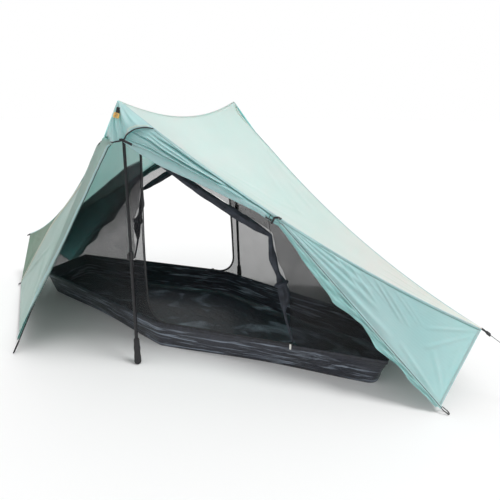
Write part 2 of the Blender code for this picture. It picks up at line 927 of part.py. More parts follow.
def slider(name, place, along, away, out, pull_length_here, parent):
    """A channel that straddles the zip's bead, open on the cloth's side, with its pull."""
    opening = zip_bead + 2 * slider_clearance
    width = opening + 2 * slider_wall
    top = zip_bead / 2 + slider_clearance + slider_wall
    height = top + zip_bead / 2
    shape = bmesh.new()
    bmesh.ops.create_cube(shape, size=1.0)
    bmesh.ops.scale(shape, vec=(slider_length, width, height), verts=shape.verts)
    bmesh.ops.translate(shape, vec=(0.0, 0.0, top - height / 2), verts=shape.verts)
    thing = mesh_from(name, shape, black_plastic(), parent)
    frame = Matrix((along, out, away)).transposed().to_4x4()
    frame.translation = place
    thing.matrix_local = frame
    channel = bmesh.new()
    bmesh.ops.create_cube(channel, size=1.0)
    depth = zip_bead + slider_clearance
    bmesh.ops.scale(channel, vec=(slider_length * 2, opening, depth * 2), verts=channel.verts)
    bmesh.ops.translate(channel, vec=(0.0, 0.0, top - slider_wall - depth), verts=channel.verts)
    cut = mesh_from(f"{name}_channel", channel, black_plastic(), parent)
    cut.matrix_local = frame
    combine(thing, cut, "DIFFERENCE")
    pull = bmesh.new()
    bmesh.ops.create_cube(pull, size=1.0)
    bmesh.ops.scale(pull, vec=(pull_width, pull_thickness, pull_length_here), verts=pull.verts)
    drop = top - pull_length_here / 2 - slider_wall / 4
    side = width / 2 + pull_thickness / 2 - slider_wall / 4
    bmesh.ops.translate(pull, vec=(0.0, side, drop), verts=pull.verts)
    strip = mesh_from(f"{name}_pull", pull, white_webbing(), parent)
    strip.matrix_local = frame
    combine(thing, strip, "UNION")
    return thing


def net_slider(name, rest_x, parent):
    start, stop = net_foot(door_foot_x), net_foot(slider_stop)
    along = (stop - start).normalized()
    out = along.cross(up).normalized()
    if out.y > 0:
        out = -out
    away = out.cross(along).normalized()
    if away.z < 0:
        away = -away
    place = net_foot(rest_x) + up * (zip_bead / 2 + seat)
    return slider(name, place, -along if along.cross(out).dot(away) < 0 else along, away, out, pull_length, parent)


def flap_slider(name, parent):
    along = (flap_stake - peak).normalized()
    away = (flap_stake - flap_corner).normalized()
    away = (away - along * away.dot(along)).normalized()
    out = away.cross(along).normalized()
    if out.dot(front_out) < 0:
        out = -out
    if along.cross(out).dot(away) < 0:
        along = -along
    aside = (flap_stake - flap_corner).normalized() * (zip_bead / 2 + seat) + front_out * cloth / 2
    place = zip_edge(flap_top_shares()[1]) + (flap_stake - peak).normalized() * slider_length + aside
    return slider(name, place, along, away, out, zip_bead, parent)


# Ground loops and end tabs

def stake_loop(name, start, stop, width, cord, parent):
    """A stretched ring from a fabric corner to the ground, with room for a stake."""
    along = (stop - start).normalized()
    side = along.cross(up).normalized()
    reach = width / 2 - cord / 2
    first, last = start + along * (width / 2), stop - along * (width / 2 - cord / 2)
    route = []
    for centre, turn in ((last, 0.0), (first, math.pi)):
        for angle in even_steps(-math.pi / 2, math.pi / 2, 7):
            spot = along * math.cos(angle + turn) + side * math.sin(angle + turn)
            route.append(centre + spot * reach)
    return tube(name, route, cord / 2, black_webbing(), parent, sides=1, closed=True)


def corner_loop(name, fabric_end, outward, parent):
    """From a corner of the canopy down to the ground just beyond it."""
    start = fabric_end + outward * (seat * 2.5)
    flat = Vector((outward.x, outward.y, 0.0)).normalized()
    drop = start.z - loop_cord / 2
    run = math.sqrt(max(loop_length ** 2 - drop ** 2, 0.0))
    stop = start + flat * run - up * drop
    return stake_loop(name, start, stop, loop_width, loop_cord, parent)


def guy_direction():
    return Vector((guyline_reach, 0.0, -end_height)).normalized()


def end_tab(name, parent):
    """A webbing tab and line lock at the right end, along the guyline's pull."""
    along = guy_direction()
    tip = door_hip(1 - end_cut / door_hip_length).lerp(rear_flap_hip(1 - end_cut / flap_hip_length), 0.5)
    start = tip + along * (cloth + seat * 1.5)
    angle = (0.0, math.atan2(-along.z, along.x), 0.0)
    size = (end_tab_length, end_tab_width, end_tab_thickness)
    thing = block(name, size, start + along * (end_tab_length / 2), black_webbing(), parent, angle)
    lock = block(f"{name}_lock", (lock_height, lock_width, lock_thickness),
                 start + along * (end_tab_length - lock_height / 4), black_plastic(), parent, angle)
    combine(thing, lock, "UNION")
    return thing


def guyline_start():
    along = guy_direction()
    tip = door_hip(1 - end_cut / door_hip_length).lerp(rear_flap_hip(1 - end_cut / flap_hip_length), 0.5)
    return tip + along * (cloth + seat * 1.5 + end_tab_length + lock_height / 4 + seat)


def guyline_route():
    """Taut from the line lock to the ground, where it ends in a tied loop."""
    start = guyline_start()
    lie = guyline_cord / 2
    ground = Vector((start.x + (start.z - lie) * guyline_reach / end_height, 0.0, lie))
    route = [start, start.lerp(ground, 0.33), start.lerp(ground, 0.66), start.lerp(ground, 0.97)]
    loop = 0.012
    centre = ground + Vector((loop * 0.4, loop, 0.0))
    for step in range(9):
        angle = math.radians(-90 + 300 * step / 8)
        rise = lie * 0.2 * step / 8
        route.append(centre + Vector((math.cos(angle) * loop, math.sin(angle) * loop, rise)))
    return route


def guyline(parent):
    return tube("right_guyline", through(guyline_route(), 52), guyline_cord / 2, black_webbing(), parent, sides=1)


# Peak fittings

def peak_pocket(name, parent):
    """A cone that the pole's tip stands in, with a skirt, under the peak."""
    inner = pocket_radius - pocket_wall
    rim = pocket_radius * pocket_slope
    cap = pocket_wall * 1.4
    profile = [(0.0, 0.0), (pocket_radius, -rim), (pocket_radius, -pocket_depth), (inner, -pocket_depth),
               (inner, -rim - cap / 2), (0.0, -cap)]
    y = peak.y + pole_inset
    ridge_drop = ridge_sag * 4 * (pole_inset / ridge_length) * (1 - pole_inset / ridge_length)
    low = peak_height - ridge_drop - pocket_seat
    return turned(name, profile, 16, black_webbing(), parent, (0.0, y, low))


def brow_frame(share):
    """A point on the middle of the hood, the way out of it and the way down it."""
    place = brow_place(0.5, share)
    down = (brow_place(0.5, share + 0.02) - place).normalized()
    aside = (brow_place(0.52, share) - place).normalized()
    out = down.cross(aside).normalized()
    if out.y > 0:
        out = -out
    return place, out, down


def peak_tab(name, parent):
    place, out, down = brow_frame(0.26)
    frame = Matrix((down.cross(out).normalized(), out, -down)).transposed().to_4x4()
    thing = block(name, (tab_width, tab_thickness, tab_drop), Vector(), black_webbing(), parent, rounding=cloth / 3)
    frame.translation = place + out * (cloth + seat + tab_thickness / 2)
    thing.matrix_local = frame
    return thing


def peak_line_lock(name, parent):
    place, out, down = brow_frame(0.26)
    frame = Matrix((down.cross(out).normalized(), out, -down)).transposed().to_4x4()
    thing = block(name, (lock_width, lock_thickness, lock_height), Vector(), yellow_plastic(), parent,
                  rounding=lock_thickness / 4)
    step = tab_drop / 2 + lock_height / 2 + seat
    frame.translation = place + out * (cloth + seat * 4 + lock_thickness / 2) + down * step
    thing.matrix_local = frame
    return thing


# Trekking poles

def pole_ends():
    lean = math.atan2(pole_lean, peak_height)
    foot = Vector((0.0, peak.y + pole_inset - pole_lean, grip_radius * math.sin(lean)))
    tip = Vector((0.0, peak.y + pole_inset, peak_height - pole_top_drop))
    return foot, tip


def pole_empty(name, parent):
    foot, tip = pole_ends()
    empty = bpy.data.objects.new(name, None)
    collection("trekking_pole_tent").objects.link(empty)
    empty.parent = parent
    empty.location = foot
    empty.rotation_mode = "QUATERNION"
    empty.rotation_quaternion = up.rotation_difference(tip - foot)
    return empty


def ring_turned(name, profile, sides, finish, parent):
    """As turned, for a closed profile that stays off the axis."""
    return turned(name, profile, sides, finish, parent, ring=True)


def grip(name, parent):
    bore = handle_shaft_radius + seat
    waists = ((1.0, 0.62), (0.96, 0.80), (0.80, 0.82), (0.62, 0.94), (0.45, 0.86), (0.30, 0.95), (0.18, 1.0),
              (0.08, 1.0), (0.03, 0.90), (0.0, 0.55))
    outer = [(grip_radius * width, grip_length * height) for height, width in waists]
    floor = handle_shaft_start
    profile = [(0.0, floor), (bore, floor), (bore, grip_length)] + outer + [(0.0, 0.0)]
    return turned(name, profile, 16, grip_foam(), parent)


def handle_shaft(name, parent):
    inner, outer = handle_shaft_radius - tube_wall, handle_shaft_radius
    low, high = handle_shaft_start + seat, handle_shaft_length
    profile = [(inner, low), (inner, high), (outer, high), (outer, low)]
    return ring_turned(name, profile, 20, pole_metal(), parent)


def tip_shaft(name, parent):
    foot, tip = pole_ends()
    top = (tip - foot).length
    radius = handle_shaft_radius - tube_wall - slide_clearance
    profile = [(0.0, top), (tip_radius * 0.7, top), (tip_radius, top - tip_length * 0.08),
               (tip_radius, top - tip_length * 0.25), (radius * 0.75, top - tip_length * 0.3),
               (radius * 1.0, top - tip_length), (radius, tip_shaft_start), (0.0, tip_shaft_start)]
    return turned(name, profile, 20, pole_metal(), parent)


def lock_clamp(name, parent):
    shaft_bore, tip_bore = handle_shaft_radius + seat, handle_shaft_radius - tube_wall + seat
    outer = handle_shaft_radius + clamp_wall
    high = handle_shaft_length + clamp_overhang
    low, shelf = high - clamp_length, handle_shaft_length + seat
    profile = [(shaft_bore, low), (shaft_bore, shelf), (tip_bore, shelf), (tip_bore, high), (outer, high),
               (outer, low)]
    thing = ring_turned(name, profile, 24, black_plastic(), parent)
    boss_depth = clamp_wall * 2
    boss = block(f"{name}_boss", (lever_width, boss_depth, clamp_length / 3),
                 (0.0, -(outer + boss_depth / 2 - clamp_wall / 2), low + clamp_length / 3), black_plastic(), parent)
    combine(thing, boss, "UNION")
    return thing


def lever_axis():
    """The lever's pivot in the pole's own frame, and where its plate lies."""
    outer = handle_shaft_radius + clamp_wall
    boss_face = outer + clamp_wall * 1.5
    low = handle_shaft_length + clamp_overhang - clamp_length
    return Vector((0.0, -(boss_face + hinge_gap + lever_thickness / 2), low + lever_thickness / 2))


def lock_lever(name, parent):
    pivot = lever_axis()
    shape = bmesh.new()
    bmesh.ops.create_cube(shape, size=1.0)
    bmesh.ops.scale(shape, vec=(lever_width, lever_thickness, lever_length), verts=shape.verts)
    bmesh.ops.translate(shape, vec=(0.0, 0.0, lever_length / 2 - lever_thickness / 2), verts=shape.verts)
    thing = mesh_from(name, shape, black_plastic(), parent)
    thing.location = pivot
    edges = thing.modifiers.new("edges", "BEVEL")
    edges.width = lever_thickness / 4
    edges.segments = 2
    return thing


def side(end, word):
    """The side's name seen from the front: the rear pieces are turned, so left and right change."""
    if end == "front":
        return word
    return "left" if word == "right" else "right"


def half(end, slider_share):
    """Everything of one long side, hung on an empty that is turned for the rear."""
    frame = bpy.data.objects.new(f"{end}_frame", None)
    collection("trekking_pole_tent").objects.link(frame)
    frame.rotation_euler.z = 0.0 if end == "front" else math.pi
    right, left = side(end, "right"), side(end, "left")
    roof_panel(f"{right}_roof_panel", frame)
    right_panel(f"{end}_{right}_panel", frame)
    left_panel(f"{end}_{left}_panel", frame)
    brow(f"{end}_brow", frame)
    flap_panel(f"{end}_flap", frame)
    flap_zip(f"{end}_flap_zip", frame)
    flap_slider(f"{end}_flap_slider", frame)
    door_roll(f"{end}_door_roll", frame)
    tie(f"{end}_tie_cord", frame)
    toggle(f"{end}_toggle", frame)
    left_net(f"{end}_{left}_net", frame)
    right_net(f"{end}_{right}_net", frame)
    end_net(f"{right}_end_net", frame)
    net_bundle(f"{end}_net_bundle", frame)
    net_zip(f"{end}_net_zip", frame)
    rest = door_foot_x + (slider_stop - door_foot_x) * slider_share
    net_slider(f"{end}_net_slider", rest, frame)
    peak_pocket(f"{end}_peak_pocket", frame)
    peak_tab(f"{end}_peak_tab", frame)
    peak_line_lock(f"{end}_peak_line_lock", frame)
    last = 1 - end_cut / door_hip_length
    edge = door_edge(last)
    corner_loop(f"{end}_{right}_stake_loop", edge, (door_corner - tie_point).normalized(), frame)
    fabric = crease(1 - end_cut / flap_hip_length)
    corner_loop(f"{end}_{left}_stake_loop", fabric, (flap_corner - peak).normalized(), frame)
    tip = zip_edge(flap_tip_share)
    along = (flap_stake - peak).normalized()
    low = flap_stake + up * (loop_cord / 2)
    stake_loop(f"{end}_flap_loop", tip + along * (seat * 1.5), low, flap_loop_width, loop_cord, frame)
    end_tab(f"{right}_end_tab", frame)
    pole = pole_empty(f"{end}_pole_axis", frame)
    grip(f"{end}_pole_grip", pole)
    handle_shaft(f"{end}_handle_shaft", pole)
    tip_shaft(f"{end}_tip_shaft", pole)
    lock_clamp(f"{end}_lock_clamp", pole)
    lock_lever(f"{end}_lock_lever", pole)
    return frame


def build():
    clear_scene()
    front = half("front", 0.985)
    half("rear", 0.06)
    bathtub_floor(None)
    guyline(front)


build()
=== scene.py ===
"""Looks of the trekking pole tent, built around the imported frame. Metres, +Z up, front door on -Y.

The tent is the same after half a turn about Z, so each piece of the front half is made once and
again, turned, for the rear half.
"""
import json
import math

import bmesh
import bpy
import numpy as np
from mathutils import Matrix, Vector, noise

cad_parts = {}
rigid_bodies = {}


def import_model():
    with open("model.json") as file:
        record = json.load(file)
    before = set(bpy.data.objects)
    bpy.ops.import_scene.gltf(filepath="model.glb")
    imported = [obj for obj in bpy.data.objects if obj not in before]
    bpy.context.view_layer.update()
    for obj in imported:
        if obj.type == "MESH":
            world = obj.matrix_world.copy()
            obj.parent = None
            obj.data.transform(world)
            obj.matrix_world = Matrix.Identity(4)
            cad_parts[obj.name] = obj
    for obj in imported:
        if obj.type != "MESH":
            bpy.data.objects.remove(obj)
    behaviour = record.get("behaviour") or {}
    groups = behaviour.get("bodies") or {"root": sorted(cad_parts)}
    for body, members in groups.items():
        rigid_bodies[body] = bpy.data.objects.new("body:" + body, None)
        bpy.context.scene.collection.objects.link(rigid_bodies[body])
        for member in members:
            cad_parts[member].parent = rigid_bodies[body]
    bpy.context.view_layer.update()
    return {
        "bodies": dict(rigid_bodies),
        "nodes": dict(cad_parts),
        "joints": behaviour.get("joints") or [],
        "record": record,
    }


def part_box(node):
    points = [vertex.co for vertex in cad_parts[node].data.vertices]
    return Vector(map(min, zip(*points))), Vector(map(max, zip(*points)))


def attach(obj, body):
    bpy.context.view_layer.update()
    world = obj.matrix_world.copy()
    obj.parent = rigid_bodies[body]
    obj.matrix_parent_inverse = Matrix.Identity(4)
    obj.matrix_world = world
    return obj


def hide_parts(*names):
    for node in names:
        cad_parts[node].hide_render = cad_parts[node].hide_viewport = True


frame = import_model()

# Camera, at the photograph's viewpoint

camera_data = bpy.data.cameras.new("camera")
camera = bpy.data.objects.new("camera", camera_data)
bpy.context.scene.collection.objects.link(camera)
camera.location = (1.23, -1.725, 1.189)
camera.rotation_euler = (math.radians(90 - 20.2), 0.0, math.radians(27.1))
camera_data.sensor_width = 36.0
camera_data.lens = 28.68
bpy.context.scene.camera = camera

# The tent's seams, as the model has them

up = Vector((0.0, 0.0, 1.0))
peak = Vector((0.0, -0.465, 1.200))
canopy_reach = 1.455
door_end = Vector((canopy_reach, 0.0, 0.300))
flap_end = Vector((-canopy_reach, 0.0, 0.300))
door_corner = Vector((1.350, -0.205, 0.0045))
flap_corner = Vector((-1.350, -0.205, 0.0045))
flap_stake = Vector((-0.620, -0.742, 0.0))
inside = Vector((0.0, 0.0, 0.40))
toggle_share = 0.42
wall_height = 0.145
cloth = 0.0008
end_cut = 0.030
door_hip_sag, flap_hip_sag, roof_sag = 0.078, 0.105, 0.072
hood_flap_length, hood_door_length, hood_drop = 0.192, 0.158, 0.160
seam_gap = 0.0004


def turned(place):
    return Vector((-place[0], -place[1], place[2]))


def to_front(way):
    return -way if way.y > 0 else way


def to_top(way):
    return -way if way.z < 0 else way


def ease(share):
    share = min(max(share, 0.0), 1.0)
    return share * share * (3 - 2 * share)


def off_rim(share, rate):
    """Rises from 0 at both rims to 1 away from them."""
    return min(min(share, 1 - share) * rate, 1.0)


def on_route(route, share):
    place = min(max(share, 0.0), 1.0) * (len(route) - 1)
    index = min(int(place), len(route) - 2)
    return route[index].lerp(route[index + 1], place - index)


def steps(start, stop, count):
    return [start + (stop - start) * index / (count - 1) for index in range(count)]


def hip(end, sag, share):
    bow = 4 * share * (1 - share)
    return peak.lerp(end, share) + Vector((0.0, 0.015 * bow, -sag * bow))


def door_hip(share):
    return hip(door_end, door_hip_sag, share)


def flap_hip(share):
    droop = 0.013 * ease(share / 0.05) * (1 - ease((share - 0.07) / 0.15))
    return hip(flap_end, flap_hip_sag, share) - Vector((0.0, 0.0, droop))


def rear_flap_hip(share):
    return turned(flap_hip(share))


def crease_line(share):
    return peak.lerp(flap_corner, share)


def crease(share):
    """Where the flap meets the panel: drawn in from the straight line below the peak, as slack cloth is."""
    drawn = 0.033 * ease(share / 0.05) * (1 - ease((share - 0.27) / 0.34))
    return crease_line(share) - front_out * drawn


def zip_edge(share):
    return peak.lerp(flap_stake, share)


def through(route, count):
    """Points at even steps along a smooth curve through the route."""
    route = [Vector(place) for place in route]
    fine = []
    for index in range(len(route) - 1):
        before = route[max(index - 1, 0)]
        first, second = route[index], route[index + 1]
        after = route[min(index + 2, len(route) - 1)]
        for share in steps(0.0, 1.0, 13)[:-1]:
            square, cube = share ** 2, share ** 3
            fine.append(0.5 * (2 * first + (second - before) * share
                               + (2 * before - 5 * first + 4 * second - after) * square
                               + (3 * first - before - 3 * second + after) * cube))
    fine.append(route[-1])
    runs = [0.0]
    for first, second in zip(fine, fine[1:]):
        runs.append(runs[-1] + (second - first).length)
    spots = []
    for wanted in steps(0.0, runs[-1], count):
        index = min(max(int(np.searchsorted(runs, wanted)), 1), len(fine) - 1)
        share = (wanted - runs[index - 1]) / (runs[index] - runs[index - 1])
        spots.append(fine[index - 1].lerp(fine[index], share))
    return spots


door_hip_length = (door_end - peak).length
flap_hip_length = (flap_end - peak).length
crease_length = (flap_corner - peak).length
zip_length = (flap_stake - peak).length
tie_point = door_hip(toggle_share)
front_out = to_front((flap_corner - peak).cross(flap_stake - peak).normalized())
roll_top = Vector((0.020, -0.455, 1.035))
roll_foot = tie_point - up * 0.0234 + Vector((0.0, -0.0045, 0.0))
roll_line = (roll_foot - roll_top).normalized()
roll_side = roll_line.cross(up).normalized()
roll_over = roll_side.cross(roll_line).normalized()
end_share = 1 - end_cut / door_hip_length
flap_end_share = 1 - end_cut / flap_hip_length
crease_end_share = 1 - end_cut / crease_length
brow_share = hood_door_length / door_hip_length

# Guyline, the only free cord: it starts past the end tab and its line lock

guy_direction = Vector((0.5, 0.0, -0.3)).normalized()
end_tip = door_hip(end_share).lerp(rear_flap_hip(flap_end_share), 0.5)
guy_start = end_tip + guy_direction * (0.0012 + 0.00045 + 0.036 + 0.005 + 0.0003)
guy_radius = 0.00125
guy_ground = Vector((guy_start.x + (guy_start.z - guy_radius) * 0.5 / 0.3, 0.0, guy_radius))


def guyline_points():
    route = [guy_start] + [guy_start.lerp(guy_ground, share) for share in (0.33, 0.66, 0.97)]
    loop = 0.012
    centre = guy_ground + Vector((loop * 0.4, loop, 0.0))
    for step in range(9):
        angle = math.radians(-90 + 300 * step / 8)
        rise = guy_radius * 0.2 * step / 8
        route.append(centre + Vector((math.cos(angle) * loop, math.sin(angle) * loop, rise)))
    return through(route, 76)


# Materials

def new(tree, kind, values=None, **settings):
    """A shader node with its settings, values and links."""
    node = tree.nodes.new("ShaderNode" + kind)
    for key, value in settings.items():
        setattr(node, key, value)
    return put(node, values or {})


def put(node, values):
    """Sets a node's sockets. A value that is another node's socket is linked."""
    for key, value in values.items():
        if isinstance(value, bpy.types.NodeSocket):
            node.id_data.links.new(value, node.inputs[key])
        else:
            node.inputs[key].default_value = value
    return node


def nodes_of(name):
    made = bpy.data.materials.new(name)
    made.use_nodes = True
    return made, made.node_tree, made.node_tree.nodes["Principled BSDF"]


def math_node(tree, operation, *values):
    return new(tree, "Math", dict(enumerate(values)), operation=operation).outputs[0]


def noise_node(tree, place, scale, detail, **more):
    values = {"Scale": scale, "Detail": detail, "Vector": place, **more}
    return new(tree, "TexNoise", values).outputs["Fac"]


def colour_ramp(tree, factor, *stops):
    """A colour by a factor, from stops that are each a place and a colour."""
    ramp = new(tree, "ValToRGB", {"Fac": factor})
    elements = ramp.color_ramp.elements
    for element, (place, colour) in zip(elements, (stops[0], stops[-1])):
        element.position, element.color = place, (*colour, 1.0)
    for place, colour in stops[1:-1]:
        elements.new(place).color = (*colour, 1.0)
    return ramp.outputs["Color"]


def colour_noise(tree, shader, low, high, scale):
    """A base colour that drifts between two shades, with the place and the noise that it comes from."""
    place = new(tree, "TexCoord").outputs["Object"]
    cloud = noise_node(tree, place, scale, 3.0)
    colour = colour_ramp(tree, cloud, (0.35, low), (0.65, high))
    put(shader, {"Base Color": colour})
    return place, cloud, colour


def bump(tree, shader, heights, strength, distance):
    """Bump from a list of (socket, share), summed."""
    total = None
    for socket, share in heights:
        scaled = math_node(tree, "MULTIPLY", socket, share)
        total = scaled if total is None else math_node(tree, "ADD", total, scaled)
    node = new(tree, "Bump", {"Strength": strength, "Distance": distance, "Height": total})
    put(shader, {"Normal": node.outputs["Normal"]})


def weave(tree, size, coordinates="UV"):
    """Two crossed wave textures, one thread a size apart, as heights."""
    values = {"Scale": 0.314 / size, "Distortion": 0.3, "Vector": new(tree, "TexCoord").outputs[coordinates]}
    return [new(tree, "TexWave", values, bands_direction=way, wave_profile="SIN").outputs["Fac"]
            for way in ("X", "Y")]


def canopy_material(name, low, high, roughness=0.42, sheen=0.25, painted_glare=None, gloss=0.35):
    """Thin coated ripstop: a fine thread grid, faint crinkles, soft colour drift and an optional painted
    glare.
    """
    made, tree, shader = nodes_of(name)
    place, _, colour = colour_noise(tree, shader, low, high, 2.2)
    if painted_glare:
        # Painted glare: the colour pales towards both ends of the tent as a painted highlight.
        away = math_node(tree, "ABSOLUTE", new(tree, "SeparateXYZ", {"Vector": place}).outputs["X"])
        reach = new(tree, "MapRange", {"From Min": 0.35, "From Max": 1.45, "To Max": 0.60, "Value": away},
                    interpolation_type="SMOOTHSTEP")
        glare_mix = new(tree, "Mix", {"Factor": reach.outputs["Result"], "A": colour, "B": (*painted_glare, 1.0)},
                       data_type="RGBA")
        put(shader, {"Base Color": glare_mix.outputs["Result"]})
    put(shader, {"Roughness": roughness, "Sheen Weight": sheen, "Sheen Roughness": 0.4,
                 "Specular IOR Level": gloss, "Subsurface Weight": 0.85,
                 "Subsurface Radius": (0.55, 1.0, 0.95), "Subsurface Scale": 0.0048})
    crinkle = noise_node(tree, place, 26.0, 4.0)
    across, along = weave(tree, 0.0055)
    bump(tree, shader, [(crinkle, 0.6), (across, 0.10), (along, 0.10)], 0.25, 0.004)
    return made


def floor_material():
    """Coated black cloth with crinkles, and painted highlights in pale drawn-out streaks."""
    made, tree, shader = nodes_of("bathtub_coated")
    place, _, colour = colour_noise(tree, shader, (0.004, 0.005, 0.008), (0.014, 0.016, 0.026), 5.0)
    put(shader, {"Roughness": 0.34, "Specular IOR Level": 0.5, "Coat Weight": 0.25, "Coat Roughness": 0.18,
                 "Coat IOR": 1.6})
    stretched = new(tree, "Mapping", {"Scale": (0.55, 1.0, 2.2), "Vector": place}).outputs["Vector"]
    crinkle = noise_node(tree, stretched, 18.0, 7.0, Roughness=0.6)
    across, along = weave(tree, 0.004)
    bump(tree, shader, [(crinkle, 1.0), (across, 0.03), (along, 0.03)], 0.75, 0.018)
    # Painted highlights: pale blue-grey streaks added to the colour.
    drawn = new(tree, "Mapping", {"Rotation": (0.0, 0.36, 0.0), "Scale": (2.4, 5.0, 46.0), "Vector": place})
    highlight_streaks = noise_node(tree, drawn.outputs["Vector"], 1.6, 5.0, Distortion=0.8)
    shine = colour_ramp(tree, highlight_streaks, (0.53, (0.010, 0.012, 0.018)), (0.67, (0.310, 0.365, 0.440)))
    lit = new(tree, "Mix", {"Factor": 0.8, "A": colour, "B": shine}, data_type="RGBA", blend_type="ADD")
    put(shader, {"Base Color": lit.outputs["Result"]})
    return made


seam_height, seam_slope = 0.946, 0.51


def net_material(name, alpha, shade_band=False):
    """Black insect netting: a thread grid and denser streaks, and optionally painted shade, denser under a
    sloping seam, and painted light, sparser above it.
    """
    made, tree, shader = nodes_of(name)
    place = colour_noise(tree, shader, (0.024, 0.024, 0.024), (0.033, 0.033, 0.039), 9.0)[0]
    put(shader, {"Roughness": 0.85, "Specular IOR Level": 0.15})
    spread = new(tree, "MapRange", {"From Min": 0.30, "From Max": 0.70, "To Min": alpha - 0.03,
                                    "To Max": alpha + 0.03, "Value": noise_node(tree, place, 14.0, 5.0)})
    density = spread.outputs["Result"]
    # Painted shade and light: denser netting in a band just under the seam line, sparser netting above it.
    if shade_band:
        x, y, z = new(tree, "SeparateXYZ", {"Vector": place}).outputs
        away = math_node(tree, "MULTIPLY", x, math_node(tree, "SIGN", y))
        height = math_node(tree, "MULTIPLY_ADD", away, seam_slope, z)
        level = new(tree, "MapRange", {"From Min": seam_height - 0.400, "From Max": seam_height + 0.100,
                                       "Value": height})
        greys = ((0.30, 0.42), (0.55, 0.66), (0.79, 0.80), (0.81, 0.11))
        band_density = colour_ramp(tree, level.outputs["Result"], *((place, (grey,) * 3) for place, grey in greys))
        density = math_node(tree, "MULTIPLY", density, band_density)
    put(shader, {"Alpha": density})
    bump(tree, shader, [(thread, 0.5) for thread in weave(tree, 0.0022)], 0.3, 0.001)
    return made


def plain_material(name, low, high, roughness, metallic=0.0, scale=60.0, rough_bump=0.15, thread=None):
    made, tree, shader = nodes_of(name)
    cloud = colour_noise(tree, shader, low, high, scale)[1]
    put(shader, {"Roughness": roughness, "Metallic": metallic})
    threads = weave(tree, thread, "Object") if thread else []
    bump(tree, shader, [(socket, 0.5) for socket in [cloud] + threads], rough_bump, 0.0015)
    return made


# One canopy fabric in lit and shaded copies: a paler sunlit copy with painted glare for the roof, a brighter
# lit copy for the hood, and darker shaded copies for the panel beside the flap and for the flap itself. These
# are painted light and shade.
sunlit_copy = canopy_material("canopy_roof_sunlit", (0.530, 0.840, 0.730), (0.600, 0.880, 0.770), painted_glare=(0.80, 0.90, 0.73))
teal = canopy_material("canopy_teal", (0.365, 0.670, 0.665), (0.430, 0.735, 0.720))
hood_lit_copy = canopy_material("canopy_hood_brighter_lit", (0.39, 0.72, 0.70), (0.47, 0.80, 0.77))
shaded = canopy_material("canopy_teal_shaded_copy", (0.140, 0.215, 0.160), (0.180, 0.255, 0.195), sheen=0.05,
                         roughness=0.6, gloss=0.10)
pale = canopy_material("canopy_flap_shaded_copy", (0.280, 0.420, 0.370), (0.335, 0.475, 0.420), sheen=0.10, roughness=0.5,
                       gloss=0.20)
# A painted highlight: the pale yellowish tape along the flap's crease.
crease_highlight = canopy_material("canopy_crease_painted_highlight", (0.50, 0.53, 0.38), (0.58, 0.60, 0.45))
tail = canopy_material("canopy_tail", (0.250, 0.475, 0.470), (0.320, 0.560, 0.545))
tub = floor_material()
netting = net_material("netting", 0.36)
# The flap-side nets carry the painted band of shade and light.
netting_painted_band = net_material("netting_painted_band", 1.0, shade_band=True)
# Dark teal: the zip cover's piping, and painted shade along the fold at the door's edge.
piping_and_fold_shade = plain_material("piping_and_painted_fold_shade", (0.045, 0.105, 0.100), (0.070, 0.140, 0.130), 0.65, thread=0.0016)
# Painted shade: dark lines under the hip tape and along the strip's fold valleys.
hip_and_fold_shade = plain_material("hip_and_fold_painted_shade", (0.16, 0.32, 0.31), (0.20, 0.37, 0.355), 0.65, thread=0.0016)
netting_dark = plain_material("netting_gathered", (0.012, 0.015, 0.022), (0.035, 0.042, 0.058), 0.75,
                              scale=30.0, rough_bump=0.5, thread=0.002)
webbing = plain_material("webbing_black", (0.012, 0.012, 0.014), (0.030, 0.030, 0.033), 0.8, thread=0.0016)
binding = plain_material("rim_binding", (0.016, 0.017, 0.022), (0.034, 0.037, 0.050), 0.55, thread=0.0018)
plastic = plain_material("plastic_black", (0.014, 0.014, 0.016), (0.024, 0.024, 0.026), 0.42)
yellow = plain_material("plastic_yellow", (0.78, 0.44, 0.11), (0.90, 0.60, 0.22), 0.38)
white = plain_material("pull_white", (0.68, 0.68, 0.62), (0.82, 0.82, 0.77), 0.7, thread=0.0014)
shaft = plain_material("pole_black", (0.018, 0.018, 0.020), (0.030, 0.030, 0.033), 0.30, metallic=0.55)
foam = plain_material("grip_foam", (0.022, 0.022, 0.024), (0.040, 0.040, 0.042), 0.92, scale=300.0,
                      rough_bump=0.5)
steel = plain_material("tip_steel", (0.42, 0.42, 0.43), (0.55, 0.55, 0.56), 0.32, metallic=1.0)

# Mesh tools

collection = bpy.data.collections.new("looks")
bpy.context.scene.collection.children.link(collection)


def side_words(end):
    """What the sides with the rolled door and with the flap are called: the rear's are turned."""
    return ("right", "left") if end == "front" else ("left", "right")


def carry(thing, body, nodes=()):
    """The body that a piece rides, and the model's nodes that it takes the place of."""
    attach(thing, body)
    if nodes:
        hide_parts(*nodes)
    return thing


def mesh_object(name, end, points, faces, finish, uvs=None):
    """A smooth mesh, turned half a turn for the rear."""
    points = np.asarray(points, dtype=float)
    if end == "rear":
        points = points * np.array([-1.0, -1.0, 1.0])
    data = bpy.data.meshes.new(name)
    data.from_pydata([tuple(place) for place in points], [], faces)
    data.materials.append(finish)
    if uvs is not None:
        layer = data.uv_layers.new(name="UVMap")
        for loop in data.loops:
            layer.data[loop.index].uv = uvs[loop.vertex_index]
    data.shade_smooth()
    data.update()
    thing = bpy.data.objects.new(name, data)
    collection.objects.link(thing)
    return thing


def thicken(thing, thickness, offset=0.0):
    solid = thing.modifiers.new("thickness", "SOLIDIFY")
    solid.thickness = thickness
    solid.offset = offset


def ring_faces(count, around, capped=True):
    """The faces between rings of points, and over both ends."""
    faces = []
    for ring in range(count - 1):
        for spot in range(around):
            after = (spot + 1) % around
            faces.append((ring * around + spot, (ring + 1) * around + spot,
                          (ring + 1) * around + after, ring * around + after))
    if capped:
        faces.append(tuple(range(around)))
        faces.append(tuple((count - 1) * around + spot for spot in reversed(range(around))))
    return faces


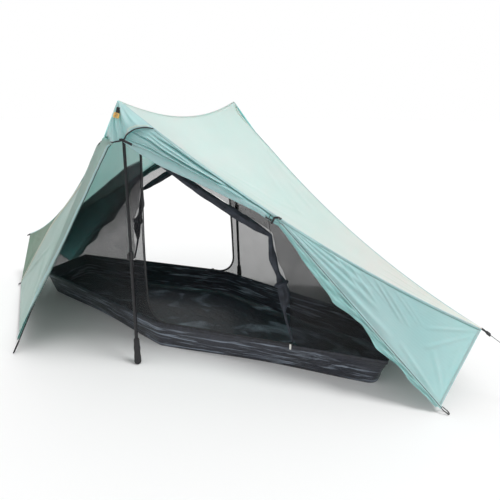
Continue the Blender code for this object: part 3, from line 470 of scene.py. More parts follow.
def sheet(name, end, surface, columns, rows, finish, body, nodes, thickness=cloth,
          outward=inside):
    """A cloth piece laid on surface(across, down), with its threads along its own UVs."""
    shares = [(column / (columns - 1), row / (rows - 1)) for row in range(rows) for column in range(columns)]
    points = [surface(across, down) for across, down in shares]
    grid = np.array([tuple(place) for place in points]).reshape(rows, columns, 3)
    width = float(np.linalg.norm(np.diff(grid, axis=1), axis=2).mean(axis=0).sum())
    length = float(np.linalg.norm(np.diff(grid, axis=0), axis=2).mean(axis=1).sum())
    uvs = [(across * width, down * length) for across, down in shares]
    faces = []
    for row in range(rows - 1):
        for column in range(columns - 1):
            first = row * columns + column
            faces.append((first, first + 1, first + columns + 1, first + columns))
    centre = grid.reshape(-1, 3).mean(axis=0) - np.array(outward)
    lean = np.cross(grid[-1, 0] - grid[0, -1], grid[-1, -1] - grid[0, 0])
    if np.dot(lean, centre) > 0:
        faces = [face[::-1] for face in faces]
    thing = mesh_object(name, end, points, faces, finish, uvs)
    thicken(thing, thickness)
    carry(thing, body, nodes)
    return thing


def tube_mesh(points, radii, sides, ripple):
    """Rings of points round a path, with frames carried along it."""
    path = [Vector(place) for place in points]
    spots, normal = [], None
    for index, place in enumerate(path):
        ahead = path[min(index + 1, len(path) - 1)] - path[max(index - 1, 0)]
        ahead.normalize()
        if normal is None:
            start = Vector((0.0, 0.0, 1.0)) if abs(ahead.z) < 0.9 else Vector((1.0, 0.0, 0.0))
            normal = (start - ahead * start.dot(ahead)).normalized()
        normal = (normal - ahead * normal.dot(ahead)).normalized()
        aside = ahead.cross(normal)
        radius = radii[index] if hasattr(radii, "__len__") else radii
        for side in range(sides):
            angle = 2 * math.pi * side / sides
            grow = ripple(index / (len(path) - 1), angle) if ripple else 1.0
            spots.append(place + (normal * math.cos(angle) + aside * math.sin(angle)) * radius * grow)
    return spots, ring_faces(len(path), sides)


def tube(name, end, points, radii, finish, body, nodes=(), sides=10, ripple=None):
    spots, faces = tube_mesh(points, radii, sides, ripple)
    return carry(mesh_object(name, end, spots, faces, finish), body, nodes)


def tape(name, end, spots, outs, low, high, finish, body="canopy", rises=(0.0009, 0.0009), bend=0.0,
         slot="canopy_cloth", rows=7):
    """A sewn tape along spots, from low to high aside of them, each side at its own rise off the cloth."""
    count = len(spots)

    def place(across, down):
        spot = down * (count - 1)
        index = min(int(spot), count - 2)
        here = spots[index].lerp(spots[index + 1], spot - index)
        ahead = (spots[min(index + 1, count - 1)] - spots[max(index - 1, 0)]).normalized()
        out = outs[index].lerp(outs[index + 1], spot - index).normalized()
        off = low + (high - low) * across
        rise = rises[0] + (rises[1] - rises[0]) * ease(across) + 0.0004 * math.sin(math.pi * across)
        return here + ahead.cross(out).normalized() * off + out * (rise - bend * abs(off))

    return sheet(name, end, place, rows, count, finish, body, (), thickness=0.0006)


def facing(way, count):
    return [Vector(way).normalized()] * count


def fold(place, start, stop, width_start, width_stop, height):
    """The height of one tension fold at a place: a soft ridge along a line, widening along it."""
    line = stop - start
    share = (place - start).dot(line) / line.length_squared
    if share < -0.05 or share > 1.05:
        return 0.0
    share = min(max(share, 0.0), 1.0)
    width = width_start + (width_stop - width_start) * share
    distance = (place - (start + line * share)).length
    if distance > width * 3:
        return 0.0
    square = (distance / width) ** 2
    return height * math.sin(math.pi * share) ** 0.5 * (1 - 0.9 * square) * math.exp(-square)


def wrinkle(place, scale, amount, seed):
    return amount * noise.noise(Vector(place) * scale + Vector((seed, seed * 0.7, seed * 1.3)))


# Canopy

def toward(place, target, distance):
    return place + (target - place).normalized() * distance


def roof_row(across, share):
    """The right roof panel: hip to hip across, at a share of the way from the ridge to the end."""
    first, second = door_hip(share), rear_flap_hip(share)
    row = toward(first, second, 0.0002).lerp(toward(second, first, 0.0002), across)
    row.z -= roof_sag * (1 - share) ** 2 * 4 * across * (1 - across)
    row.x += 0.0002 * (1 - share)
    return row


def roof_place(across, down):
    return roof_row(across, end_share * down)


roof_folds = []
for spot, shares in ((peak, (0.10, 0.22, 0.36, 0.52)), (turned(peak), (0.10, 0.24, 0.40, 0.55))):
    for index, lean in enumerate(shares):
        target = roof_place(lean if spot.y < 0 else 1 - lean, 0.34 + 0.10 * (index % 2))
        roof_folds.append((spot, target, 0.006, 0.022, 0.0045))
for lean in (0.10, 0.32, 0.62, 0.88):
    roof_folds.append((door_end, roof_place(lean, 0.70), 0.004, 0.014, 0.0035))


def roof_cloth(across, down):
    place = roof_place(across, down)
    rim = min(across, 1 - across) * 2
    lift = sum(fold(place, *each) for each in roof_folds)
    lift += wrinkle(place, 7.0, 0.004, 3.0) * min(rim * 3, 1.0) * min(down * 5, 1.0)
    return place + up * lift * off_rim(across, 30)


roll_start = -0.036
roll_neck, roll_skin, roll_gap, tie_room = 0.009, 1.08, 0.0003, 0.0054


def roll_axis(share):
    """The roll's middle line, drawn up a little between the peak and the toggle."""
    drawn = 0.014 * ease(share / 0.6) * (1 - ease((share - 0.84) / 0.16))
    return roll_top + (roll_foot - roll_top) * share + up * drawn


def roll_size(share):
    full = roll_neck + 0.011 * ease((share + 0.02) / 0.25) * (1 - ease((share - 0.25) / 0.75))
    return full * (0.40 + 0.60 * ease((share - roll_start) / 0.07))


def edge_start():
    return roll_foot + (tie_point - roll_foot).normalized() * (roll_neck * roll_skin + roll_gap + tie_room)


def door_edge(share):
    if share <= toggle_share:
        along = share / toggle_share
        above = (door_hip(share) - roll_axis(along)).normalized()
        slant = above.cross(roll_line).length
        room = roll_size(along) * roll_skin + roll_gap + tie_room * ease((along - 0.8) * 5)
        return roll_axis(along) + above * (room / slant)
    return edge_start().lerp(door_corner, (share - toggle_share) / (1 - toggle_share))


side_out = to_front((door_corner - tie_point).cross(door_end - tie_point).normalized())


def right_panel_base(along, down):
    first = brow_share / 4
    share = first + (end_share - first) * along
    top, foot = door_hip(share), door_edge(share)
    return toward(top, foot, seam_gap).lerp(foot, down)


def panel_point(hip_share, down):
    first = brow_share / 4
    return right_panel_base((hip_share - first) / (end_share - first), down)


panel_folds = [
    (tie_point, panel_point(0.80, 0.86), 0.004, 0.016, 0.0081),
    (tie_point, panel_point(0.74, 0.62), 0.004, 0.013, 0.0068),
    (tie_point, panel_point(0.70, 0.40), 0.004, 0.012, 0.0062),
    (tie_point, panel_point(0.66, 0.18), 0.004, 0.009, 0.0050),
    (tie_point, panel_point(0.62, 0.95), 0.004, 0.010, 0.0050),
    (panel_point(0.560, 0.012), panel_point(0.700, 0.62), 0.004, 0.009, 0.0045),
    (panel_point(0.605, 0.012), panel_point(0.735, 0.56), 0.0035, 0.008, 0.0036),
    (panel_point(0.640, 0.012), panel_point(0.752, 0.42), 0.003, 0.005, 0.0026),
    (panel_point(0.680, 0.012), panel_point(0.800, 0.52), 0.0028, 0.006, 0.0050),
    (panel_point(0.703, 0.012), panel_point(0.824, 0.50), 0.0025, 0.0055, 0.0042),
    (panel_point(0.733, 0.012), panel_point(0.842, 0.38), 0.0025, 0.005, 0.0036),
    (panel_point(0.755, 0.012), panel_point(0.855, 0.36), 0.0025, 0.005, 0.0026),
    (door_end, panel_point(0.86, 0.35), 0.003, 0.010, 0.0056),
    (door_end, panel_point(0.88, 0.60), 0.003, 0.011, 0.0062),
    (door_end, panel_point(0.945, 0.42), 0.002, 0.006, 0.0050),
    (panel_point(0.955, 0.30), panel_point(0.962, 0.72), 0.005, 0.006, 0.0043),
    (panel_point(0.950, 0.62), door_corner, 0.006, 0.003, 0.0050),
    (door_corner, panel_point(0.90, 0.55), 0.004, 0.014, 0.0056),
    (door_corner, panel_point(0.82, 0.80), 0.004, 0.012, 0.0050),
]
strip_rows = 0.76
fold_stations = (0.0, 0.16, 0.245, 0.358, 0.51, 0.60, 0.725, 0.85, 1.0)
deep_folds = (
    ((0.30, 0.30, 0.30, 0.26, 0.34, 0.30, 0.42, 0.72, 0.90),
     (0.0, 0.0, 0.45, 0.9, 1.0, 1.0, 1.0, 0.8, 0.2), 0.016, 0.0075),
    ((0.62, 0.60, 0.68, 0.74, 0.76, 0.70, 0.45, 0.72, 0.90),
     (0.0, 0.7, 1.0, 1.0, 1.0, 0.9, 0.2, 0.0, 0.0), 0.017, 0.0055),
    ((0.92, 0.88, 0.94, 0.94, 0.94, 0.92, 0.90, 0.90, 0.95),
     (0.5, 0.9, 1.0, 0.6, 0.3, 0.3, 0.5, 0.6, 0.3), 0.008, 0.0050),
    ((0.45, 0.42, 0.48, 0.50, 0.55, 0.50, 0.60, 0.85, 0.95),
     (0.2, 0.4, 0.5, 0.3, 0.2, 0.1, 0.0, 0.0, 0.0), 0.006, 0.0050),
)


def strip_frame(share):
    """The hip, the roll's middle, and the directions up to the hip and out of the strip."""
    along = share / toggle_share
    top, axis = door_hip(share), roll_axis(along + roll_start * (1 - ease(along / 0.15)))
    above = top - axis
    above = (above - roll_line * above.dot(roll_line)).normalized()
    return along, top, axis, above, to_front(roll_line.cross(above).normalized())


def strip_cloth(share, down):
    """Above the toggle: a slack strip under the hip, then the door's outer layer laid round its roll."""
    along, top, axis, above, front = strip_frame(share)
    cover = roll_size(along + roll_start * (1 - ease(along / 0.15))) * 1.13 + 0.0010
    lean = above * math.cos(0.75) + front * math.sin(0.75)
    if down > strip_rows:
        turn = 0.75 + (down - strip_rows) / (1 - strip_rows) * 2.2 * ease((1.03 - along) * 7)
        return axis + (above * math.cos(turn) + front * math.sin(turn)) * cover
    drop = down / strip_rows
    edge = axis + lean * cover
    place = top.lerp(edge, drop)
    span = (edge - top).length
    swell = ease(along * 7) * ease((1 - along) * 5)
    lift = 0.009 * swell * math.sin(math.pi * drop) ** 0.8
    for centres, depths, depth, width in deep_folds:
        centre = float(np.interp(along, fold_stations, centres))
        amount = float(np.interp(along, fold_stations, depths)) * depth
        off = (drop - centre) * span / (width * (0.55 + 0.45 * ease(along * 4)))
        lift += amount * (0.45 * math.exp(-((abs(off) - 1.7) / 0.8) ** 2) - math.exp(-off ** 2))
    lift += wrinkle(place, 15.0, 0.004, 2.0) * swell
    rim = min(drop * span / 0.006, (1 - drop) * span / 0.005, 1.0)
    forward = 0.010 * (1 - ease(along / 0.10)) * math.sin(math.pi * drop)
    return place + front * (lift * rim + forward)


toggle_low, toggle_high = (Vector(corner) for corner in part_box("front_toggle"))
toggle_middle = (toggle_low + toggle_high) / 2


def dimpled(place):
    """The cloth behind the toggle, pressed in by it."""
    return place - side_out * 0.0065 * math.exp(-((place - toggle_middle).length / 0.024) ** 2)


def right_panel_cloth(along, down):
    return dimpled(right_panel_shape(along, down))


def right_panel_shape(along, down):
    first = 0.004
    share = first + (end_share - first) * along
    if share <= toggle_share:
        return strip_cloth(share, down)
    beyond = (share - toggle_share) / (1 - toggle_share)
    drop = min(down / strip_rows, 1.0)
    place = toward(door_hip(share), door_edge(share), seam_gap).lerp(door_edge(share), drop)
    bow = 4 * drop * (1 - drop)
    rim = min(drop * 14, (1 - drop) * 14, (1 - along) * 20, 1.0)
    lift = 0.004 * bow * ease(beyond * 2)
    lift += sum(fold(place, *each) for each in panel_folds) + wrinkle(place, 9.0, 0.006, 1.0)
    if down > strip_rows:
        under = (down - strip_rows) / (1 - strip_rows)
        back = (door_hip(share) - door_edge(share)).normalized()
        tuck = side_out * 0.0022 * math.sin(math.pi * min(under * 2, 0.5))
        place += back * 0.012 * under * ease(beyond * 20) - tuck
    place += side_out * max(lift, -0.009) * rim * ease(beyond * 9)
    if beyond < 0.05:
        return strip_cloth(toggle_share, down).lerp(place, ease(beyond / 0.05))
    return place


def left_panel_cloth(along, down):
    first = brow_share / 3
    share = first + (flap_end_share - first) * along
    top, foot = flap_hip(share), crease(share)
    place = toward(top, foot, seam_gap).lerp(toward(foot, top, seam_gap), down)
    rim = min(off_rim(down, 14), off_rim(along, 14))
    bow = 4 * down * (1 - down) * math.sin(math.pi * share)
    folds = sum(fold(place, *each) for each in left_folds)
    lift = -0.010 * bow + folds + wrinkle(place, 8.0, 0.005, 4.0)
    under_hood = 0.006 * (1 - ease((share - 0.085) / 0.035))
    return place + front_out * (lift * rim - under_hood)


left_folds = [
    (flap_end, flap_hip(0.80).lerp(crease(0.80), 0.35), 0.004, 0.014, 0.006),
    (flap_end, flap_hip(0.86).lerp(crease(0.86), 0.65), 0.004, 0.014, 0.006),
    (flap_corner, flap_hip(0.86).lerp(crease(0.80), 0.55), 0.004, 0.014, 0.006),
    (peak, flap_hip(0.40).lerp(crease(0.42), 0.45), 0.004, 0.016, 0.005),
    (flap_hip(0.42), flap_hip(0.52).lerp(crease(0.50), 0.45), 0.005, 0.012, 0.005),
    (flap_hip(0.55), flap_hip(0.66).lerp(crease(0.62), 0.45), 0.005, 0.012, 0.005),
]
flap_top = (hood_flap_length * 1.01 / crease_length, hood_drop * 1.03 / zip_length)
flap_tip = 1 - 0.085 / zip_length


def flap_base(across, down):
    foot = crease(flap_top[0] + (crease_end_share - flap_top[0]) * down)
    edge = zip_edge(flap_top[1] + (flap_tip - flap_top[1]) * down)
    return toward(foot, edge, seam_gap).lerp(edge, across)


flap_folds = [
    (zip_edge(flap_tip), flap_base(0.55, 0.45), 0.004, 0.020, 0.007),
    (zip_edge(flap_tip), flap_base(0.30, 0.62), 0.004, 0.018, 0.006),
    (flap_corner, flap_base(0.45, 0.55), 0.004, 0.020, 0.006),
    (zip_edge(flap_top[1]), flap_base(0.50, 0.42), 0.004, 0.016, 0.004),
]


def flap_cloth(across, down):
    place = flap_base(across, down)
    rim = min(off_rim(across, 12), off_rim(down, 16))
    bow = 4 * across * (1 - across) * math.sin(math.pi * min(down, 0.9))
    folds = sum(fold(place, *each) for each in flap_folds)
    lift = -0.010 * bow + folds + wrinkle(place, 7.0, 0.006, 5.0)
    return place + front_out * lift * rim


# Hood

hood_out = Vector((0.0, -1.0, 0.5)).normalized()
hood_pinch, hem_bend = Vector((0.0330, -0.494, 1.0531)), Vector((-0.0324, -0.499, 1.0431))
hem_route = through([flap_hip(0.210 / flap_hip_length) + front_out * 0.002,
                     crease(0.208 / crease_length) + front_out * 0.0060, hem_bend, (-0.0043, -0.497, 1.0449),
                     hood_pinch, (0.0492, -0.490, 1.0718), (0.0661, -0.485, 1.0845), (0.0847, -0.474, 1.0954),
                     (0.1019, -0.452, 1.0993), (0.1171, -0.436, 1.0989), door_hip(brow_share)], 121)


def brow_hem(across):
    """The hem: over the flap's crease, along its top, up to the pinch over the pole, and the raised arch."""
    return on_route(hem_route, across)


def hem_share(spot):
    return min(range(121), key=lambda index: (hem_route[index] - spot).length) / 120


def brow_place(across, share):
    bow = math.sin(math.pi * across) * math.sin(math.pi * 0.6 * share) * (1 - ease((share - 0.5) / 0.5))
    return peak.lerp(brow_hem(across), share) + hood_out * (0.0033 * (1 - 0.9 * share) + 0.012 * bow)


pinch_share, hem_corner = hem_share(hood_pinch), hem_share(hem_bend)
hood_ridges = ((-0.29, 0.030, 0.005), (-0.20, 0.022, 0.007), (-0.125, 0.020, 0.009), (-0.055, 0.020, 0.011),
               (0.125, 0.035, 0.014), (0.22, 0.030, 0.006), (0.36, 0.040, 0.004))
hood_valleys = ((-0.09, 0.012, -0.006), (0.034, 0.017, -0.017), (-0.16, 0.012, -0.006),
                (0.075, 0.012, -0.006))


def brow_cloth(across, down):
    share = 0.02 + 0.98 * down
    place = brow_place(across, share)
    lift = 0.0
    for offset, width, height in hood_ridges + hood_valleys:
        lift += height * math.exp(-((across - pinch_share - offset) / width) ** 2)
    near = math.exp(-((across - pinch_share) / 0.10) ** 2) * math.exp(-((share - 0.90) / 0.16) ** 2)
    lift = lift * ease(share * 1.3) * (1 - 0.8 * ease((share - 0.80) / 0.20))
    lift += wrinkle(place, 22.0, 0.004, 6.0) * share
    lift += wrinkle(place, 60.0, 0.012, 11.0) * near
    return place + hood_out * max(lift, -0.006) * off_rim(across, 10)

# Bathtub floor

floor_half, middle_half, end_half = 2.130 / 2, 0.345, 0.150
end_lean, side_lean = 0.034, 0.016
middle_softness = 0.01
wall_folds = ((0.36, 0.018, 0.007), (0.35, 0.045, 0.009), (0.34, 0.075, 0.010), (0.32, 0.105, 0.010),
              (0.24, 0.125, 0.008), (0.13, 0.135, 0.007), (-0.26, 0.040, 0.006), (-0.22, 0.090, 0.006),
              (-0.36, 0.070, 0.006), (-0.10, 0.130, 0.005))


def side_width(share, middle, end):
    soft = math.sqrt(share ** 2 + middle_softness ** 2) - middle_softness
    return middle + (end - middle) * soft / (math.sqrt(1 + middle_softness ** 2) - middle_softness)


def rim_place(x):
    half = floor_half + end_lean
    return Vector((x, -side_width(abs(x) / half, middle_half + side_lean, end_half + side_lean), wall_height))


def floor_outline(level):
    """The floor's outline at a height, with corners that are rounder at the ground than at the rim."""
    half, height = floor_half + end_lean * level, wall_height * level
    middle, end = middle_half + side_lean * level, end_half + side_lean * level
    soft = 0.006 + 0.040 * (1 - level)

    def side_point(x):
        drawn = 0.020 * (1 - level) * math.sin(math.pi * abs(x) / half) ** 2
        return Vector((x, -(side_width(abs(x) / half, middle, end) - drawn), height))

    def corner(first, point, last):
        return [first.lerp(point, share).lerp(point.lerp(last, share), share)
                for share in steps(0.0, 1.0, 8)[1:-1]]

    side = [side_point(x) for x in steps(soft - half, half - soft, 120)]
    across = [Vector((half, y, height)) for y in steps(soft - end, end - soft, 12)]
    far = Vector((half - soft, -side_point(half - soft).y, height))
    outline = side + corner(side[-1], Vector((half, -end, height)), across[0]) + across
    outline += corner(across[-1], Vector((half, end, height)), far)
    return outline + [turned(place) for place in outline]


def tub_folds(place):
    """Tension folds that fan from the doors' tie-downs across the floor walls."""
    lift = 0.0
    for here in (place, turned(place)):
        if here.y > 0:
            continue
        start = Vector((0.700, here.y, wall_height))
        for run, drop, height in wall_folds:
            stop = Vector((0.700 + run, here.y, wall_height - drop))
            lift += fold(here, start, stop, 0.0035, 0.010, height)
        for corner in (-0.98, 0.98):
            start = Vector((corner, here.y, 0.0))
            for run, rise in ((0.20, 0.10), (0.14, 0.13), (0.26, 0.06)):
                stop = Vector((corner - run * math.copysign(1, corner), here.y, rise))
                lift += fold(here, start, stop, 0.004, 0.012, 0.005)
    return lift


def bathtub(binding_piece):
    inner, levels = (0.02, 0.06, 0.14, 0.24, 0.36, 0.50, 0.66, 0.83), 15
    base = floor_outline(0.0)
    around = len(base)
    rings = [[Vector((place.x * share, place.y * share, 0.0008)) for place in base] for share in inner]
    rings += [floor_outline(level / (levels - 1)) for level in range(levels)]
    points, uvs, faces = [], [], []
    for index, ring in enumerate(rings):
        level = (index - len(inner)) / (levels - 1)
        for spot, place in enumerate(ring):
            if level < 0:
                uvs.append((place.x, place.y))
            else:
                along_side = abs(place.x) < floor_half
                out = Vector((0.0, place.y, 0.0)) if along_side else Vector((place.x, 0.0, 0.0))
                lift = tub_folds(place) + wrinkle(place, 11.0, 0.006, 9.0)
                lift += wrinkle(place, 30.0, 0.0022, 2.0)
                place = place - out.normalized() * max(lift, -0.001) * math.sin(math.pi * level) ** 0.5
                uvs.append((spot * 0.022, 2.0 + place.z))
            points.append(place)
    for index in range(len(rings) - 1):
        for spot in range(around):
            after = (spot + 1) % around
            faces.append((index * around + spot, index * around + after,
                          (index + 1) * around + after, (index + 1) * around + spot))
    faces.append(tuple(reversed(range(around))))
    thing = mesh_object("bathtub_floor_cloth", "front", points, faces, tub, uvs)
    thicken(thing, 0.0009)
    carry(thing, "canopy", ["bathtub_floor"])

# Inner nets

net = 0.0010
net_end = floor_half + end_lean - net
net_last = net_end - net * 1.5
pole_shoulder = -0.017 * 2.4
zip_top_x, zip_foot_x, zip_corner = 0.030, -0.040, 0.110
zip_top_z = 1.000
door_foot_x = zip_foot_x + zip_corner
slider_stop = 0.690
bead = 0.0060


def net_top(x):
    share = abs(x) / canopy_reach
    seam = door_hip(share) if x > 0 else flap_hip(share)
    return seam + Vector((0.0, 0.0024, -0.0024))


def net_foot(x):
    return rim_place(x) + Vector((0.0, 0.00075, 0.0014))


def left_net_top(x):
    if x < pole_shoulder:
        return net_top(x)
    low = Vector((x, net_foot(0.0).y - 0.070 * 0.55, zip_top_z))
    share = ease((x - pole_shoulder) / (zip_top_x - pole_shoulder))
    place = net_top(pole_shoulder).lerp(low, share)
    return Vector((x, place.y, place.z))


def net_face(x, z):
    top, foot = left_net_top(x), net_foot(x)
    share = (z - foot.z) / (top.z - foot.z)
    return Vector((x, foot.y + (top.y - foot.y) * share, z))


def door_edge_x(z):
    corner_z = wall_height + zip_corner
    if z >= corner_z:
        return zip_foot_x + (zip_top_x - zip_foot_x) * (z - corner_z) / (zip_top_z - corner_z)
    drop = min(corner_z - z, zip_corner)
    return door_foot_x - math.sqrt(max(zip_corner ** 2 - drop ** 2, 0.0))


def net_ripple(place):
    return wrinkle(place, 8.0, 0.0022, 7.0) + 0.0012 * math.sin(place.x * 55 + 2 * math.sin(place.z * 9))


def left_net_cloth(along, down):
    x = 0.0
    for _ in range(6):
        x = door_edge_x(left_net_top(x).lerp(net_foot(x), down).z)
    x = -net_last + (x + net_last) * along
    place = left_net_top(x).lerp(net_foot(x), down)
    rim = min(off_rim(down, 12), off_rim(along, 12))
    return place + Vector((0.0, net_ripple(place), 0.0)) * rim


def door_outline(inset):
    corner_z = wall_height + zip_corner
    route = []
    for height in steps(zip_top_z, corner_z, 40)[:-1]:
        lean = (height - corner_z) / (zip_top_z - corner_z)
        route.append(net_face(zip_foot_x + (zip_top_x - zip_foot_x) * lean + inset, height))
    reach = zip_corner - inset
    for angle in steps(math.pi, math.pi * 1.5, 17):
        route.append(net_face(door_foot_x + reach * math.cos(angle), corner_z + reach * math.sin(angle)))
    return route


hang = tie_point + Vector((-0.040, 0.020 / 3, -0.085))
bundle_first = net_face(door_foot_x, zip_top_z) - Vector((0.020, 0.0, 0.0))
slider_place = net_foot(slider_stop)
hang_share = 0.60


def bundle_route(upper_count, lower_count):
    foot = slider_place + up * (0.012 + 0.006)
    fall = foot - hang
    upper = through([bundle_first, bundle_first.lerp(hang, 0.5) - up * 0.010, hang], upper_count)
    knot = hang + fall * 0.50 + Vector((0.0075, 0.0, 0.0))
    below = hang + fall * 0.72 - Vector((0.0105, 0.0, 0.0))
    above = hang + fall * 0.22 - Vector((0.0105, 0.0, 0.0))
    return upper + through([hang, above, knot, below, foot], lower_count)[1:]


coarse_bundle = bundle_route(28, 19)


def bundle_size(share):
    stations = (0.0, 0.15, 0.42, 0.54, 0.60, 0.68, 0.74, 0.77, 0.84, 0.88, 1.0)
    sizes = (0.010, 0.015, 0.020, 0.018, 0.0085, 0.016, 0.012, 0.023, 0.0234, 0.006, 0.006)
    return float(np.interp(share, stations, sizes))


def bundle_place(share):
    return on_route(coarse_bundle, share)


edge_bend = 0.62
right_bend = edge_bend * hang_share


def low_edge(along):
    if along < edge_bend:
        share = along / edge_bend
        beyond = ease((share - 0.55) * 6)
        toward_net = Vector((0.8 * beyond, 0.8 - 0.5 * beyond, 0.6 - 0.5 * beyond)).normalized()
        widest = max(bundle_size(min(share + step, 1.0)) for step in (-0.05, -0.02, 0.0, 0.02, 0.05))
        place = bundle_place(share) + toward_net * (widest + net * 2.9)
        settle = ease((share - 0.95) * 20)
        return place.lerp(net_foot(place.x + 0.006), settle)
    share = (along - edge_bend) / 0.38
    start = low_edge(0.619).x
    return net_foot(start + (net_last - start) * share)


def right_net_cloth(along, down):
    if along < right_bend:
        x = bundle_first.x + (hang.x - bundle_first.x) * along / right_bend
    else:
        x = hang.x + (net_last - hang.x) * (along - right_bend) / (1 - right_bend)
    clear = 1 - ease((x - tie_point.x - 0.020) / 0.100)
    inward = Vector((0.0, 0.022 * clear * math.sin(math.pi * math.sqrt(max(down, 0.0))), 0.0))
    place = net_top(x).lerp(low_edge(along), down) + inward
    rim = min(off_rim(down, 12), off_rim(along, 12))
    pleat = 0.0035 * math.sin(x * 90) * ease(down * 1.4) * ease((0.75 - x) * 3) * ease((x - 0.05) * 8)
    return place + Vector((0.0, net_ripple(place) + pleat * 0.6, 0.0)) * rim


def end_net_cloth(across, down):
    foot = net_foot(net_end)
    low = Vector((net_end, foot.y - 2 * foot.y * across, foot.z))
    return (roof_row(across, net_end / canopy_reach) - up * 0.0024).lerp(low, down)


# Rolled door

def roll_ring(centre, size, share, count):
    """A rolled section: a round skin with the cloth's own edge lying on it as a low step."""
    ring = []
    for step in range(count):
        angle = 2 * math.pi * step / count
        turn = (angle - 3.9 - share * 0.5) % (2 * math.pi)
        lap = 0.075 * math.exp(-(turn / 0.9)) - 0.04
        ripple = 0.022 * math.cos(3 * angle + 9 * share) + 0.012 * math.cos(5 * angle - 14 * share)
        grow = 1 + lap + ripple
        ring.append(centre + roll_side * size * math.cos(angle) * grow
                    + roll_over * size * math.sin(angle) * grow)
    return ring


def rolled_door(end):
    around, points = 40, []
    edge_top, edge_foot = edge_start(), toward(door_corner, tie_point, end_cut * 1.4)
    hang_way = (roll_foot - edge_top).normalized()
    tail_side = (door_corner - edge_top).normalized().cross(side_out).normalized()
    for step in range(96):
        share = roll_start + (1 - roll_start) * step / 95
        pull = 1 + 0.05 * math.exp(-((share - 0.55) / 0.1) ** 2)
        points += roll_ring(roll_axis(share), roll_size(share) * pull, share, around)
    room = (roll_foot - edge_top).length - roll_neck
    for step in range(1, 111):
        share = step / 110
        spread = ease(share * 3)
        flare = float(np.interp(share, (0.0, 0.16, 0.40, 0.55, 0.66, 0.80, 1.0),
                                (0.39, 0.62, 1.0, 0.46, 0.72, 0.42, 0.22)))
        wide = roll_neck + (0.023 * flare - roll_neck) * spread
        tall = roll_neck + (0.0035 - roll_neck) * spread
        aside = hang_way.lerp(tail_side, ease(share * 5)).normalized()
        centre = edge_top.lerp(edge_foot, share) + aside * (wide + room)
        for spot in range(around):
            angle = 2 * math.pi * spot / around
            place = centre + aside * wide * math.cos(angle) + side_out * tall * math.sin(angle)
            creased = 0.004 * math.sin(share * 46 + 3.0 * math.cos(angle)) * spread
            creased += wrinkle(place, 34.0, 0.006, 8.0) * spread
            creased += 0.0022 * math.sin(8.0 * math.cos(angle) + 9.0 * share) * spread
            place += side_out * max(creased, -0.003)
            place += aside * wrinkle(place, 14.0, 0.012, 3.0) * spread * max(math.cos(angle), 0.0)
            points.append(place)
    count = len(points) // around
    uvs = [(index * 0.009, spot * 0.003) for index in range(count) for spot in range(around)]
    roll = mesh_object(f"{end}_rolled_door", end, points, ring_faces(count, around), tail, uvs)
    carry(roll, "canopy", [f"{end}_door_roll"])


tie_radius, cord_radius = 0.0015, 0.0020


def tie_ring_route():
    share = 0.94
    ring = roll_size(share) * roll_skin + tie_radius + 0.0006
    centre, held = roll_axis(share), roll_top.lerp(roll_foot, share)
    route = []
    for turn in steps(0.0, 1.0, 15):
        angle = math.radians(-110 - 240 * turn)
        climb = roll_line * (0.0048 * (turn - 0.5))
        middle = centre.lerp(held, ease((turn - 0.7) / 0.3))
        route.append(middle + (roll_side * math.cos(angle) + roll_over * math.sin(angle)) * ring - climb)
    return route


def tie_route():
    start = hang + up * (bundle_size(hang_share) + 0.0054)
    ring = tie_ring_route()
    return through([start.lerp(ring[0], share) for share in steps(0.0, 1.0, 12)][:-1] + ring, 90)


# Loops and tabs

def loop_route(start, stop, width):
    along = (stop - start).normalized()
    side = along.cross(up).normalized()
    reach = width / 2 - cord_radius
    first, last = start + along * (width / 2), stop - along * reach
    route = []
    for centre, turn in ((last, 0.0), (first, math.pi)):
        for angle in steps(-math.pi / 2, math.pi / 2, 13):
            spot = along * math.cos(angle + turn) + side * math.sin(angle + turn)
            route.append(centre + spot * reach)
    return route + route[:2]


def corner_loop_route(fabric_end, outward):
    start = fabric_end + outward * 0.00075
    flat = Vector((outward.x, outward.y, 0.0)).normalized()
    drop = start.z - 0.002
    run = math.sqrt(max(0.042 ** 2 - drop ** 2, 0.0))
    stop = start + flat * run - up * drop
    return loop_route(start, stop, 0.022)


def frame_at(x_axis, y_axis, z_axis, place):
    made = Matrix((x_axis, y_axis, z_axis)).transposed().to_4x4()
    made.translation = place
    return made


